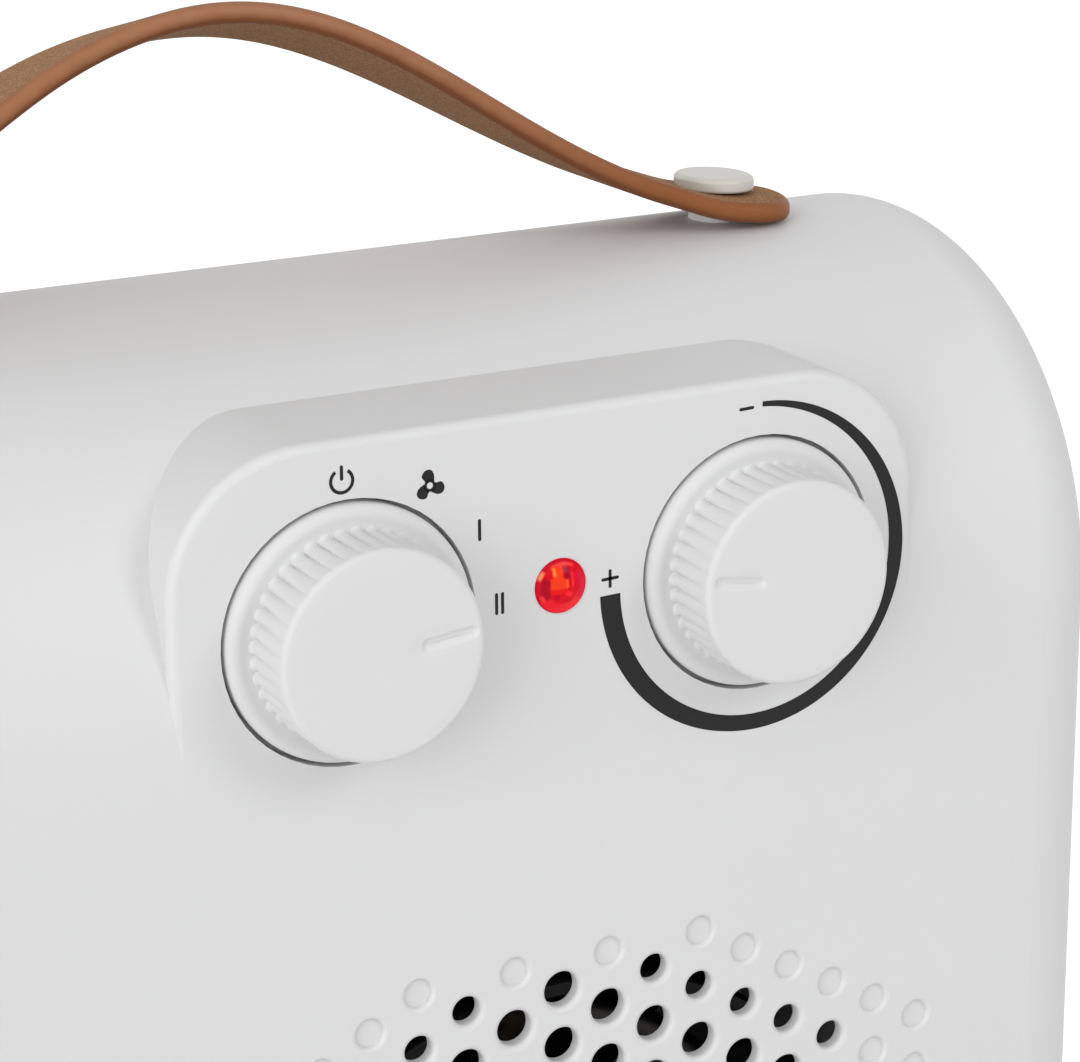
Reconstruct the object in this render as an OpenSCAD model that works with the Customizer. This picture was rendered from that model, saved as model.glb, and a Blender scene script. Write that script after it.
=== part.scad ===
// Portable fan heater with a half-round top, a raised control panel and a leather strap handle.
// Millimetres. X runs to the right, Y into the heater from its front, Z up from the surface it stands on.

/* [Body] */
// Width of the body
body_w = 272; // [262:1:296]
// Height of the body without its feet
body_h = 256; // [252:1:280]
// Depth of the body, which is also the diameter of its half-round top
body_d = 115; // [112:1:124]
// Wall of both housings
wall = 2.5; // [2.2:0.1:3]
// Radius of the rounded edge round the two sides and the base
side_r = 15; // [10:0.5:18]
// Radius of the two lower corners, seen from the front
corner_r = 20; // [19:0.5:26]
// Distance of the seam between the housings behind the front face
seam_y = 78; // [76:0.5:82]
// Width of the groove at the seam
seam_gap = 0.4; // [0.3:0.05:0.6]
// Length of the lip that the rear housing slides into the front one
lip_l = 3; // [2:0.5:4]
// Thickness of that lip
lip_t = 1.2; // [1:0.1:1.5]
// Height of the rubber feet
foot_h = 4; // [3:0.5:6]
// Diameter of a foot where it meets the body
foot_d = 16; // [12:1:20]
// Distance of the feet from the middle of the body
foot_x = 100; // [90:1:105]
// Distance of the feet in from the front and back faces
foot_inset = 25; // [24:1:28]

/* [Control panel] */
// How far the panel, its knobs and the grille lie to the right of the body's middle
panel_shift = 32; // [24:1:34]
// Width of the raised panel
panel_w = 126; // [122:1:132]
// Height of the panel's top edge over the knobs' axes
panel_rise = 29.5; // [27:0.5:31]
// Radius of the panel's upper corners
panel_r = 21.5; // [18:0.5:24]
// Rounding of the panel's front edge
panel_edge = 1.5; // [1:0.1:2]
// How far the knobs' axes lie below the top of the body
knob_drop = 41; // [39:0.5:44]
// Distance between the axes of the two knobs
knob_pitch = 69.4; // [66:0.2:72]
// Diameter of a knob's flange
knob_d = 40; // [37:0.5:41]
// Gap between a flange and the wall of its recess
knob_gap = 0.5; // [0.4:0.1:1]
// Depth of the recess that a flange turns in
recess_deep = 3.5; // [3:0.1:4.5]
// How far a knob stands out of the panel
knob_h = 12; // [11:0.5:14]
// Depth of the flange's dish, from its rim to the foot of the grip
dish_deep = 0.8; // [0.4:0.1:0.9]
// Diameter of the grip, over its ribs
grip_d = 32.4; // [31:0.2:33]
// Depth of the grooves between the ribs at the grip's foot, where they are deepest
groove_deep = 0.8; // [0.4:0.1:1]
// Number of ribs round a grip
grip_ribs = 40; // [32:1:44]
// Radius of one rib
rib_r = 1.1; // [0.9:0.05:1.2]
// Length of the pointer slot in a knob's face
pointer_l = 8.9; // [6:0.1:10]
// Width of the pointer slot
pointer_w = 1.9; // [1.2:0.1:2.2]
// Depth of the pointer slot
pointer_deep = 0.5; // [0.3:0.1:0.8]
// Way that the switch knob's pointer looks in the part as drawn, in degrees up from the right
switch_at = 6; // [0:1:10]
// Way that the thermostat knob's pointer looks in the part as drawn
thermostat_at = 171; // [165:1:180]
// Diameter of a control spindle
spindle_d = 6; // [5:0.5:6.5]
// Diameter of the indicator lens
lens_d = 8.8; // [8:0.2:10]
// Height of the lens over the knobs' axes
lens_rise = 1.8; // [0:0.2:3]

/* [Grille] */
// Distance between neighbouring holes
hole_pitch = 9.54; // [9.1:0.02:9.6]
// Diameter of the inner holes
hole_d = 5.9; // [5.6:0.1:6.4]
// Diameter of the holes next to the dimples, and of the dimples
hole_small_d = 4.7; // [4.4:0.1:5.2]
// Depth of the blind dimples round the edge
dimple_deep = 0.9; // [0.6:0.05:1.2]
// Rounding of the mouths of the holes and dimples
mouth_r = 1; // [0.6:0.05:1.2]
// How far the top row of dimples lies below the knobs' axes
grille_drop = 59.9; // [59:0.1:64]
// Least distance of the bottom row of dimples over the base of the body
grille_low = 21; // [20:1:26]
// Columns of holes on each side of the middle one
grille_cols = 8; // [7:1:8]

/* [Strap handle] */
// Distance between the two rivets
rivet_pitch = 184; // [176:1:190]
// Width of the leather strap
strap_w = 22; // [20:1:24]
// Thickness of the strap
strap_t = 3.4; // [3:0.1:3.8]
// Length of the strap past each rivet
strap_tip = 13; // [12:0.5:16]
// Rise of the middle of the strap over its ends
strap_rise = 37; // [34:1:42]
// How far the middle of the strap leans back, in degrees
strap_lean = 14; // [0:1:18]
// Height of the bosses under the strap
boss_h = 1.6; // [1:0.1:2.4]
// Diameter of the bosses under the strap
boss_d = 8.6; // [8:0.2:11]
// Diameter of a rivet's cap
cap_d = 14; // [12:0.5:16]
// Thickness of a rivet's cap
cap_t = 2.5; // [2.2:0.1:3]
// Diameter of a rivet's shank
shank_d = 5; // [4:0.2:5.6]
// Length of the shank inside the body
shank_out = 8; // [7:0.5:12]

/* [Fan and heater] */
// Inner radius of the air duct
duct_r = 60; // [58:0.5:61]
// Wall of the air duct
duct_t = 2; // [1.6:0.1:2.4]
// Radius of the fan over its blades
fan_r = 56; // [52:0.5:57]
// Number of fan blades
fan_blades = 7; // [5:1:8]
// Depth of the fan along its axis
fan_deep = 18; // [15:0.5:19]
// Diameter of the motor's shaft
shaft_d = 5; // [4:0.5:6]
// Diameter of the motor's rotor
rotor_d = 26; // [22:1:28]
// Thickness of the motor's lamination stack
stack_t = 20; // [16:1:22]
// Radius of the wire coils' tubes
coil_r = 2.6; // [2:0.1:3]
// Number of coil rings in the heater
coil_rings = 4; // [3:1:4]

/* [Rear and base] */
// Number of slots in a column of the rear intake
slot_rows = 17; // [13:2:19]
// Height of one intake slot
slot_h = 3; // [2.4:0.2:3.6]
// Distance from slot to slot
slot_pitch = 6.4; // [6.2:0.1:6.8]
// Diameter of the cord's bore in its gland
cord_d = 7.2; // [6.4:0.1:8]
// Height of the gland over the surface
gland_z = 36; // [32:1:42]
// Travel of the tip-over plunger
plunger_travel = 4; // [3:0.5:5]
// Diameter of the tip-over plunger
plunger_d = 6; // [5:0.5:8]

/* [Hidden] */
$fn = 64;

// Fits
run_fit = 0.05;     // radial clearance of a shaft that turns in its bore
slip_fit = 0.15;    // radial clearance of pieces that are slid together
seat_gap = 0.3;     // gap between a curved or soft piece and what carries it
cut = 1;            // how far a cutting tool runs past a face

// Heights and places that follow from the sizes above
front_y = -(body_d - knob_h) / 2;
body_top = foot_h + body_h;
top_axis_z = body_top - body_d / 2;
low_axis_z = foot_h + corner_r;
floor_z = foot_h + wall;
knob_z = body_top - knob_drop;
switch_x = panel_shift - knob_pitch / 2;
thermostat_x = panel_shift + knob_pitch / 2;
spindle_out = 7;            // how far a spindle reaches into its knob, from the panel's face
spindle_in = 8;             // how far it reaches behind the control plate

// Half-pitch steps from the grille's top row to its bottom row, always an even number
grille_steps = 2 * floor((knob_z - grille_drop - foot_h - grille_low) / hole_pitch);
fan_x = panel_shift;
fan_z = knob_z - grille_drop - grille_steps * hole_pitch / 4;

// Panel interior
panel_back = 34;            // the panel's walls run this far back, into the curved top
panel_low = 30;             // and this far below the knobs' axes
cup_t = 2;                  // floor and wall of a knob's recess
cup_r = knob_d / 2 + knob_gap + cup_t;
cup_back = recess_deep + cup_t;
plate_y = 12;               // front face of the control plate
plate_t = 2;
plate_low = 26;             // how far the plate reaches below the knobs' axes
post_r = 3.5;
pilot_r = 1.2;              // hole that a small screw cuts its thread in
post_in = 6;                // distance of the outer posts in from the panel's sides
post_drop = 22;             // distance of the posts below and above the knobs' axes
plate_posts = [[-(panel_w / 2 - post_in), -post_drop], [panel_w / 2 - post_in, -post_drop], [0, post_drop]];

// Housing screws, seen from the front, and the posts that they go into
post_inset = [18, 14, 35];      // low, middle and high posts in from the sides
post_height = [22, 150, 28];    // over the base, and the high ones below the top
screw_posts = [for (s = [-1, 1]) each [
    [s * (body_w / 2 - post_inset[0]), foot_h + post_height[0]],
    [s * (body_w / 2 - post_inset[1]), foot_h + post_height[1]],
    [s * (body_w / 2 - post_inset[2]), body_top - post_height[2]]]];
screw_post_r = 4.5;
screw_r = 1.5;
screw_head_r = 3.2;
screw_bite = 10;            // length of thread in the front housing
well_floor = 3;             // thickness under a screw's head
screw_head_h = 2.4;
small_screw_r = 1.15;       // screws of the duct, the control plate and the cord clamp
small_head = [2.8, 2];      // their heads: radius and height
duct_screw_l = 10;
plate_screw_l = 8;

// Duct, heater, fan and motor along the fan's axis, from the front face
lug_r = duct_r + duct_t + 9;
lug_y = 20;
lug_t = 3;
mica_y = 12;
mica_deep = 20;
mica_t = 1;
fan_y = 39;
spider_y = fan_y + fan_deep + 4;
spider_t = 3;
hub_r = 14;
bracket_t = 2;
bearing_r = 4.5;
bearing_l = 4;
bracket_y = spider_y + spider_t;
stack_y = bracket_y + bracket_t + bearing_l;
motor_back = stack_y + stack_t + bearing_l + bracket_t;
stack_w = 60;
motor_bolt_x = 23;
motor_bolt_r = 1.6;
motor_head = [3, 2];        // its screws' heads: radius and height
pillar_r = 3.5;

// Rear and base
gland_x = -body_w / 2 + 34;
gland_r = 7;
gland_flange = 3;           // how far the gland's flange stands out round it
gland_l = 14;               // length of the gland inside the housing
gland_seat_y = body_d - 3;
clamp_rise = 24;            // the cord clamp's height over the gland
clamp_post = [10, 4, 10];   // its posts: distance from the middle, radius and length
clamp_bar = [30, 4, 8];
block_rise = 52;            // the terminal block's height over the gland
block_post = [11, 3, 6];    // its posts: distance from the middle, radius and length
block_size = [36, 12, 16];
tip_x = -62;
tip_y = 46;
plunger_r = plunger_d / 2;
collar_r = plunger_r + 2.5;
collar_z = floor_z + plunger_travel + 3;
tip_top = 38;

// Colours as the object shows them
white = [0.87, 0.87, 0.86];
off_white = [0.80, 0.79, 0.76];
leather = [0.62, 0.36, 0.22];
dark = [0.16, 0.16, 0.17];
steel = [0.68, 0.69, 0.70];
copper = [0.72, 0.40, 0.22];
mica = [0.78, 0.72, 0.58];

// Puts what is drawn from the front face into the object's own frame
module seated() translate([0, front_y, 0]) children();

// Turns what is drawn along Z so that it runs back along Y from the point x, z and depth y
module at(x, z, y = 0) translate([x, y, z]) rotate([-90, 0, 0]) children();

// A quarter of a disc in the positive quadrant
module quarter(r) intersection() { circle(r); square(r); }

// A slot outline: length l over its round ends, width w, centred
module slot2d(l, w) {
    square([l - w, w], center = true);
    for (s = [-1, 1]) translate([s * (l - w) / 2, 0]) circle(w / 2);
}

// A ring along Z
module ring(outer, inner, h) {
    difference() {
        cylinder(r = outer, h = h);
        translate([0, 0, -cut]) cylinder(r = inner, h = h + 2 * cut);
    }
}

// Half of the body's edge, drawn in by o: x runs outward, y away from the middle plane
module half_edge(reach, o) {
    flat = body_d / 2 - side_r;
    square([reach - side_r, body_d / 2 - o]);
    square([reach - o, flat]);
    translate([reach - side_r, flat]) quarter(side_r - o);
}

module edge_section(reach, o) translate([0, body_d / 2]) {
    half_edge(reach, o);
    mirror([0, 1]) half_edge(reach, o);
}

// The body seen from its side, drawn in by o: half-round top, straight walls, rounded base
module side_profile(o) {
    translate([body_d / 2, top_axis_z]) intersection() {
        circle(body_d / 2 - o);
        translate([-body_d / 2, 0]) square([body_d, body_d / 2]);
    }
    translate([o, low_axis_z]) square([body_d - 2 * o, top_axis_z - low_axis_z]);
    translate([0, low_axis_z]) rotate(-90) edge_section(corner_r, o);
}

// The whole body as a solid, drawn in by o on every side. Its chunks meet face to face.
module body_form(o) {
    mid = body_w / 2 - corner_r;
    translate([-mid, 0, 0]) rotate([90, 0, 90]) linear_extrude(2 * mid) side_profile(o);
    for (s = [0, 1]) mirror([s, 0, 0]) translate([mid, 0, 0]) {
        translate([0, 0, low_axis_z]) linear_extrude(top_axis_z - low_axis_z) edge_section(corner_r, o);
        translate([0, body_d / 2, top_axis_z]) rotate([0, 90, 0]) rotate([0, 0, 90])
            rotate_extrude(angle = 180) mirror([1, -1]) half_edge(corner_r, o);
        translate([0, 0, low_axis_z]) rotate([-90, 0, 0])
            rotate_extrude(angle = 90) edge_section(corner_r, o);
    }
}

// Section through the panel's rim: x outward, y into the heater, front corner rounded by e
module rim_section(r, o, e) {
    translate([0, o + e]) square([r, panel_back - o - e]);
    if (e > 0) {
        translate([0, o]) square([r - e, e]);
        translate([r - e, o + e]) mirror([0, 1]) quarter(e);
    }
}

// The raised panel as a solid, drawn in by o, with its front edge rounded by e
module panel_form(o, e) {
    cx = panel_w / 2 - panel_r;
    cz = knob_z + panel_rise - panel_r;
    low = knob_z - panel_low;
    r = panel_r - o;
    translate([panel_shift, 0, 0]) {
        translate([-cx, 0, 0]) rotate([90, 0, 90]) linear_extrude(2 * cx) {
            translate([0, cz]) mirror([1, -1]) rim_section(r, o, e);
            translate([o, low]) square([panel_back - o, cz - low]);
        }
        for (s = [0, 1]) mirror([s, 0, 0]) translate([cx, 0, 0]) {
            translate([0, 0, low]) linear_extrude(cz - low) rim_section(r, o, e);
            translate([0, 0, cz]) rotate([-90, 0, 0]) rotate([0, 0, -90])
                rotate_extrude(angle = 90) rim_section(r, o, e);
        }
    }
}

// Slice of what is drawn between two depths
module between(y0, y1) intersection() {
    children();
    translate([-body_w, y0, -cut]) cube([2 * body_w, y1 - y0, 2 * body_h]);
}

// Rows of the grille: the reach of a row in columns grows from the top and bottom edges
function edge_row(n) = min(n, grille_steps - n);
function row_reach(n) = min(3 + edge_row(n), grille_cols);
function is_dimple(k, n) = edge_row(n) == 0 || (abs(k) == 3 + edge_row(n)) || abs(k) >= grille_cols - 1;
function is_small(k, n) = abs(k) == 1 + edge_row(n) || abs(k) == grille_cols - 2;
grille_sites = [for (n = [0:grille_steps]) for (k = [-row_reach(n):row_reach(n)])
    if ((k + n) % 2 != 0) [k, n]];

module at_site(site) at(
    panel_shift + site[0] * hole_pitch * sqrt(3) / 2,
    knob_z - grille_drop - site[1] * hole_pitch / 2) children();

// Cutting tool for a round hole, drawn along Z from the front face, with a rounded mouth
module mouth_hole(r, deep, round_r) rotate_extrude() {
    difference() {
        translate([0, -cut]) square([r + round_r, cut + round_r]);
        translate([r + round_r, round_r]) circle(round_r, $fn = 32);
    }
    translate([0, round_r]) square([r, deep - round_r]);
}

// Through holes and blind dimples of the front grille, as cutting tools
module grille_cuts() {
    for (site = grille_sites) at_site(site)
        if (is_dimple(site[0], site[1]))
            mouth_hole(hole_small_d / 2, dimple_deep, min(mouth_r, 0.8 * dimple_deep));
        else
            mouth_hole((is_small(site[0], site[1]) ? hole_small_d : hole_d) / 2, wall + cut, mouth_r);
}

// The moulded front: flat face, half-round top, raised panel, recesses, grille, posts and strap bosses
module front_housing() color(white) seated() difference() {
    union() {
        between(-cut, seam_y) difference() {
            union() {
                body_form(0);
                panel_form(0, panel_edge);
            }
            body_form(wall);
            panel_form(wall, 0);
        }
        for (x = [switch_x, thermostat_x]) at(x, knob_z, wall / 2)
            cylinder(r = cup_r, h = cup_back - wall / 2);
        for (p = plate_posts) at(panel_shift + p[0], knob_z + p[1], wall / 2)
            cylinder(r = post_r, h = plate_y - wall / 2);
        for (a = [0:90:270]) at(fan_x + lug_r * cos(a), fan_z + lug_r * sin(a), wall / 2)
            cylinder(r = post_r, h = lug_y - wall / 2);
        intersection() {
            for (p = screw_posts) at(p[0], p[1], wall / 2) cylinder(r = screw_post_r, h = seam_y - wall / 2);
            body_form(wall / 2);
        }
        for (s = [-1, 1]) translate([s * rivet_pitch / 2, body_d / 2, 0]) {
            translate([0, 0, body_top - wall / 2]) cylinder(d = boss_d, h = wall / 2 + boss_h);
            translate([0, 0, body_top - wall - 2]) cylinder(d = boss_d + 6, h = 2 + wall / 2);
        }
    }
    for (x = [switch_x, thermostat_x]) at(x, knob_z) {
        translate([0, 0, -cut]) cylinder(r = knob_d / 2 + knob_gap, h = recess_deep + cut);
        cylinder(d = spindle_d + 4, h = cup_back + cut);
    }
    at(panel_shift, knob_z + lens_rise, -cut) cylinder(d = lens_d + 2 * slip_fit, h = wall + 2 * cut);
    grille_cuts();
    for (p = plate_posts) at(panel_shift + p[0], knob_z + p[1], wall + 1) cylinder(r = pilot_r, h = plate_y);
    for (a = [0:90:270]) at(fan_x + lug_r * cos(a), fan_z + lug_r * sin(a), lug_y - duct_screw_l + lug_t)
        cylinder(r = pilot_r, h = duct_screw_l);
    for (p = screw_posts) at(p[0], p[1], seam_y - screw_bite - 2)
        cylinder(r = screw_r, h = screw_bite + 2 + cut);
    for (s = [-1, 1]) translate([s * rivet_pitch / 2, body_d / 2, body_top - 10])
        cylinder(d = shank_d + 2 * slip_fit, h = 20);
    translate([tip_x, tip_y, 0]) cylinder(r = plunger_r + slip_fit, h = floor_z + cut);
}

// Slots of the rear intake inside a circle as wide as the duct
module intake_cuts() {
    reach = duct_r - 4;
    for (i = [0:slot_rows - 1]) {
        dz = (i - (slot_rows - 1) / 2) * slot_pitch;
        half = sqrt(max(reach * reach - dz * dz, 1));
        slots = half > 40 ? 3 : half > 22 ? 2 : 1;
        slot_l = (2 * half - (slots - 1) * 4) / slots;
        for (j = [0:slots - 1])
            at(fan_x - half + slot_l / 2 + j * (slot_l + 4), fan_z + dz, body_d - wall - cut)
                linear_extrude(wall + 2 * cut) slot2d(slot_l, slot_h);
    }
}

// The rear cover: intake slots, screw wells, gland seat and the lip that locates it in the front
module rear_housing() color(white) seated() difference() {
    union() {
        between(seam_y + seam_gap, body_d + cut) difference() {
            body_form(0);
            body_form(wall);
        }
        between(seam_y + seam_gap, seam_y + seam_gap + lip_l) difference() {
            body_form(wall);
            body_form(wall + slip_fit + lip_t);
        }
        between(seam_y - lip_l, seam_y + seam_gap) difference() {
            body_form(wall + slip_fit);
            body_form(wall + slip_fit + lip_t);
        }
        intersection() {
            for (p = screw_posts) at(p[0], p[1], seam_y + seam_gap)
                cylinder(r = screw_post_r + 1.5, h = body_d - seam_y - seam_gap - wall / 2);
            body_form(wall / 2);
        }
        at(gland_x, gland_z, gland_seat_y - gland_flange)
            cylinder(r = gland_r + 2 * gland_flange + 1, h = body_d - gland_seat_y + gland_flange - wall / 2);
        for (s = [-1, 1]) at(gland_x + s * clamp_post[0], gland_z + clamp_rise, body_d - wall - clamp_post[2])
            cylinder(r = clamp_post[1], h = clamp_post[2] + wall / 2);
        for (s = [-1, 1]) at(gland_x + s * block_post[0], gland_z + block_rise, body_d - wall - block_post[2])
            cylinder(r = block_post[1], h = block_post[2] + wall / 2);
    }
    for (p = screw_posts) {
        at(p[0], p[1], seam_y - lip_l - cut)
            cylinder(r = screw_post_r + slip_fit, h = lip_l + cut + seam_gap);
        at(p[0], p[1], seam_y - cut) cylinder(r = screw_r + slip_fit, h = body_d);
        at(p[0], p[1], seam_y + seam_gap + well_floor) cylinder(r = screw_head_r + 0.4, h = body_d);
    }
    intake_cuts();
    at(gland_x, gland_z, gland_seat_y - 4) cylinder(r = gland_r + slip_fit, h = 10);
    at(gland_x, gland_z, gland_seat_y) cylinder(r = gland_r + gland_flange + slip_fit, h = 10);
    for (s = [-1, 1])
        at(gland_x + s * clamp_post[0], gland_z + clamp_rise, body_d - wall - clamp_post[2] - cut)
            cylinder(r = pilot_r, h = clamp_post[2]);
}

// Rise of the strap at a distance x from the middle, as a share of its whole rise
arch_half = (rivet_pitch - cap_d) / 2 + 1;
arch_foot = 0.19;           // how steeply the strap leaves the rivets' caps
strap_z = body_top + boss_h + strap_t / 2;
function arch(x) = let (u = abs(x) / arch_half)
    u >= 1 ? 0 : (1 + cos(180 * u)) / 2 + arch_foot * u * sin(180 * u);
function strap_mid(x) = [x, 0, strap_z + strap_rise * arch(x)];

// Strap section, clockwise seen along X: width in the first place, thickness in the second
strap_edge = 0.8;
strap_section = let (w = strap_w / 2, t = strap_t / 2, e = strap_edge) [
    [-w, -t + e], [-w, t - e], [-w + e, t], [w - e, t], [w, t - e], [w, -t + e], [w - e, -t], [-w + e, -t]];
strap_rings = 56;

function strap_ring(x) =
    let (d = 0.01,
         slope = atan2(strap_rise * (arch(x + d) - arch(x - d)), 2 * d),
         lean = strap_lean * pow(arch(x), 2),
         normal = [-sin(slope), 0, cos(slope)],
         across = [0, 1, 0])
    [for (q = strap_section)
        strap_mid(x) + q[0] * (across * cos(lean) - normal * sin(lean))
                     + q[1] * (normal * cos(lean) + across * sin(lean))];

// The leather strap: two flat ends with round tips, and the arch swept between them
module handle_strap() color(leather) seated() translate([0, body_d / 2, 0]) {
    count = len(strap_section);
    points = [for (i = [0:strap_rings]) each strap_ring(arch_half * (2 * i / strap_rings - 1))];
    sides = [for (i = [0:strap_rings - 1]) for (j = [0:count - 1])
        let (a = i * count + j, b = i * count + (j + 1) % count) each [
            [a, b, b + count], [a, b + count, a + count]]];
    polyhedron(points, concat(
        [[for (j = [count - 1:-1:0]) j]], sides, [[for (j = [0:count - 1]) strap_rings * count + j]]));
    for (s = [0, 1]) mirror([s, 0, 0]) difference() {
        hull() {
            translate([0, 0, strap_z - strap_t / 2 + strap_edge])
                linear_extrude(strap_t - 2 * strap_edge) strap_end(0);
            translate([0, 0, strap_z - strap_t / 2]) linear_extrude(strap_t) strap_end(strap_edge);
        }
        translate([rivet_pitch / 2, 0, strap_z - strap_t])
            cylinder(d = shank_d + 2 * slip_fit, h = 2 * strap_t);
    }
}

// Outline of a strap end, drawn in by o
module strap_end(o) {
    centre = rivet_pitch / 2 + strap_tip - strap_w / 2;
    translate([arch_half, -strap_w / 2 + o]) square([centre - arch_half, strap_w - 2 * o]);
    translate([centre, 0]) circle(strap_w / 2 - o, $fn = 32);
}

// Two rivets: a rounded cap over the strap and a shank down through the top of the body
module strap_rivets() color(off_white) seated() for (s = [-1, 1])
    translate([s * rivet_pitch / 2, body_d / 2, strap_z + strap_t / 2 + 0.05]) {
        round_r = 0.46 * cap_t;
        rotate_extrude() {
            square([cap_d / 2 - round_r, cap_t]);
            translate([0, round_r]) square([cap_d / 2, cap_t - 2 * round_r]);
            for (z = [round_r, cap_t - round_r]) translate([cap_d / 2 - round_r, z]) circle(round_r);
        }
        shank = cap_t / 2 + strap_t + boss_h + wall + shank_out;
        translate([0, 0, cap_t / 2 - shank]) cylinder(d = shank_d, h = shank);
    }

// Washers under the top of the body that the rivets are closed on
module rivet_washers() color(steel) seated() for (s = [-1, 1])
    translate([s * rivet_pitch / 2, body_d / 2, body_top - wall - 4]) ring(6, shank_d / 2 + run_fit, 2);

// Outline of a ribbed grip
module grip2d() {
    circle(grip_d / 2 - groove_deep);
    for (i = [0:grip_ribs - 1]) rotate(360 * i / grip_ribs)
        translate([grip_d / 2 - rib_r, 0]) circle(rib_r, $fn = 24);
}

// A knob, drawn along Z from the recess outward, with its pointer along X
module knob() {
    flange_back = -(recess_deep - seat_gap);
    flange_front = 1;
    rim = 1.4;
    face_r = grip_d / 2;
    round_r = 1.5;
    difference() {
        union() {
            rotate_extrude() {
                polygon([[0, flange_back], [knob_d / 2, flange_back], [knob_d / 2, flange_front - rim],
                         [knob_d / 2 - rim, flange_front - rim / 3], [grip_d / 2 - 1, flange_front - dish_deep],
                         [0, flange_front - dish_deep]]);
                translate([knob_d / 2 - rim, flange_front - rim]) circle(rim);
            }
            linear_extrude(knob_h - 2 * round_r) grip2d();
            rotate_extrude() {
                polygon([[0, 0], [face_r - groove_deep, 0], [face_r - groove_deep, knob_h / 4],
                         [face_r, knob_h - 2 * round_r], [face_r, knob_h - round_r],
                         [face_r - round_r, knob_h], [0, knob_h]]);
                translate([face_r - round_r, knob_h - round_r]) circle(round_r);
            }
        }
        translate([0, 0, knob_h - pointer_deep]) linear_extrude(1) {
            inner = face_r - 1.3 - pointer_l + pointer_w / 2;
            outer = face_r - 1.3 - pointer_w / 2;
            for (x = [inner, outer]) translate([x, 0]) circle(pointer_w / 2);
            translate([inner, -pointer_w / 2]) square([outer - inner, pointer_w]);
        }
        translate([0, 0, flange_back - cut]) difference() {
            cylinder(d = grip_d - 5, h = cut + knob_h + recess_deep - 5);
            cylinder(d = spindle_d + 5, h = cut + knob_h + recess_deep);
        }
        translate([0, 0, flange_back - cut])
            cylinder(r = spindle_d / 2 + run_fit, h = cut + recess_deep + spindle_out);
    }
}

// Turns a knob that is drawn along Z to face the front, its pointer at an angle seen from the front
module facing(x, angle) translate([x, 0, knob_z]) rotate([90, 0, 0]) rotate([0, 0, angle]) children();

module switch_knob() color(white) seated() facing(switch_x, switch_at) knob();
module thermostat_knob() color(white) seated() facing(thermostat_x, thermostat_at) knob();

// A control spindle from inside its knob to inside its control
module spindle(x) at(x, knob_z, 0.2 - spindle_out)
    cylinder(d = spindle_d, h = spindle_out - 0.2 + plate_y + spindle_in);
module switch_spindle() color(steel) seated() spindle(switch_x);
module thermostat_spindle() color(steel) seated() spindle(thermostat_x);

// Threaded bush of a control, through the control plate, with the bore for its spindle
bush_r = 4.5;
module control_bore(x) at(x, knob_z, cup_back)
    cylinder(r = spindle_d / 2 + run_fit, h = plate_y - cup_back + spindle_in + 1);
module bush(x) at(x, knob_z, cup_back + 1.5) cylinder(r = bush_r, h = plate_y + plate_t - cup_back);

// Rotary switch for off, fan, one and two
switch_size = [34, 30];
switch_deep = 18;
blade_size = [0.8, 8, 4];   // one of its terminals
module rotary_switch() color(dark) seated() difference() {
    union() {
        translate([switch_x - switch_size[0] / 2, plate_y + plate_t, knob_z - switch_size[1] / 2])
            cube([switch_size[0], switch_deep, switch_size[1]]);
        bush(switch_x);
        for (i = [-2:2])
            translate([switch_x + i * switch_size[0] / 6 - blade_size[0] / 2,
                       plate_y + plate_t + switch_deep - cut, knob_z - blade_size[2] / 2]) cube(blade_size);
    }
    control_bore(switch_x);
}

// Thermostat: a ceramic base with its bush, a jaw that holds the bimetal and two terminals
base_size = [28, 10, 36];
jaw_size = [12, 12, 7];
terminal_size = [0.8, 9, 5];
bimetal_size = [8, 0.8, 30];
bimetal_y = plate_y + plate_t + jaw_size[1];
jaw_z = knob_z - base_size[2] / 2 + 1;
module thermostat_body() color([0.86, 0.84, 0.78]) seated() difference() {
    union() {
        translate([thermostat_x - base_size[0] / 2, plate_y + plate_t, knob_z - base_size[2] / 2])
            cube(base_size);
        bush(thermostat_x);
        translate([thermostat_x - jaw_size[0] / 2, plate_y + plate_t, jaw_z]) cube(jaw_size);
        for (s = [-1, 1])
            translate([thermostat_x + s * base_size[0] / 3 - terminal_size[0] / 2,
                       plate_y + plate_t + base_size[1] - cut, knob_z + base_size[2] / 2 - 8])
                cube(terminal_size);
    }
    control_bore(thermostat_x);
}

// Bimetal strip, held on the base's jaw
module thermostat_bimetal() color(steel) seated()
    translate([thermostat_x - bimetal_size[0] / 2, bimetal_y, jaw_z]) cube(bimetal_size);

// Steel plate behind the panel that carries both controls and the lamp
module control_plate() color(steel) seated() difference() {
    at(panel_shift, knob_z, plate_y) linear_extrude(plate_t) for (s = [0, 1]) mirror([s, 0]) {
        cx = panel_w / 2 - panel_r;
        cz = panel_rise - panel_r;
        r = panel_r - wall - slip_fit;
        translate([0, -cz]) square([cx + r, cz + plate_low]);
        translate([0, -cz - r]) square([cx, r]);
        translate([cx, -cz]) circle(r);
    }
    for (x = [switch_x, thermostat_x]) at(x, knob_z, plate_y - cut)
        cylinder(r = bush_r + run_fit, h = plate_t + 2 * cut);
    at(panel_shift, knob_z + lens_rise, plate_y - cut)
        cylinder(r = holder_r + run_fit, h = plate_t + 2 * cut);
    for (p = plate_posts) at(panel_shift + p[0], knob_z + p[1], plate_y - cut)
        cylinder(r = 1.5, h = plate_t + 2 * cut);
}

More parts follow.
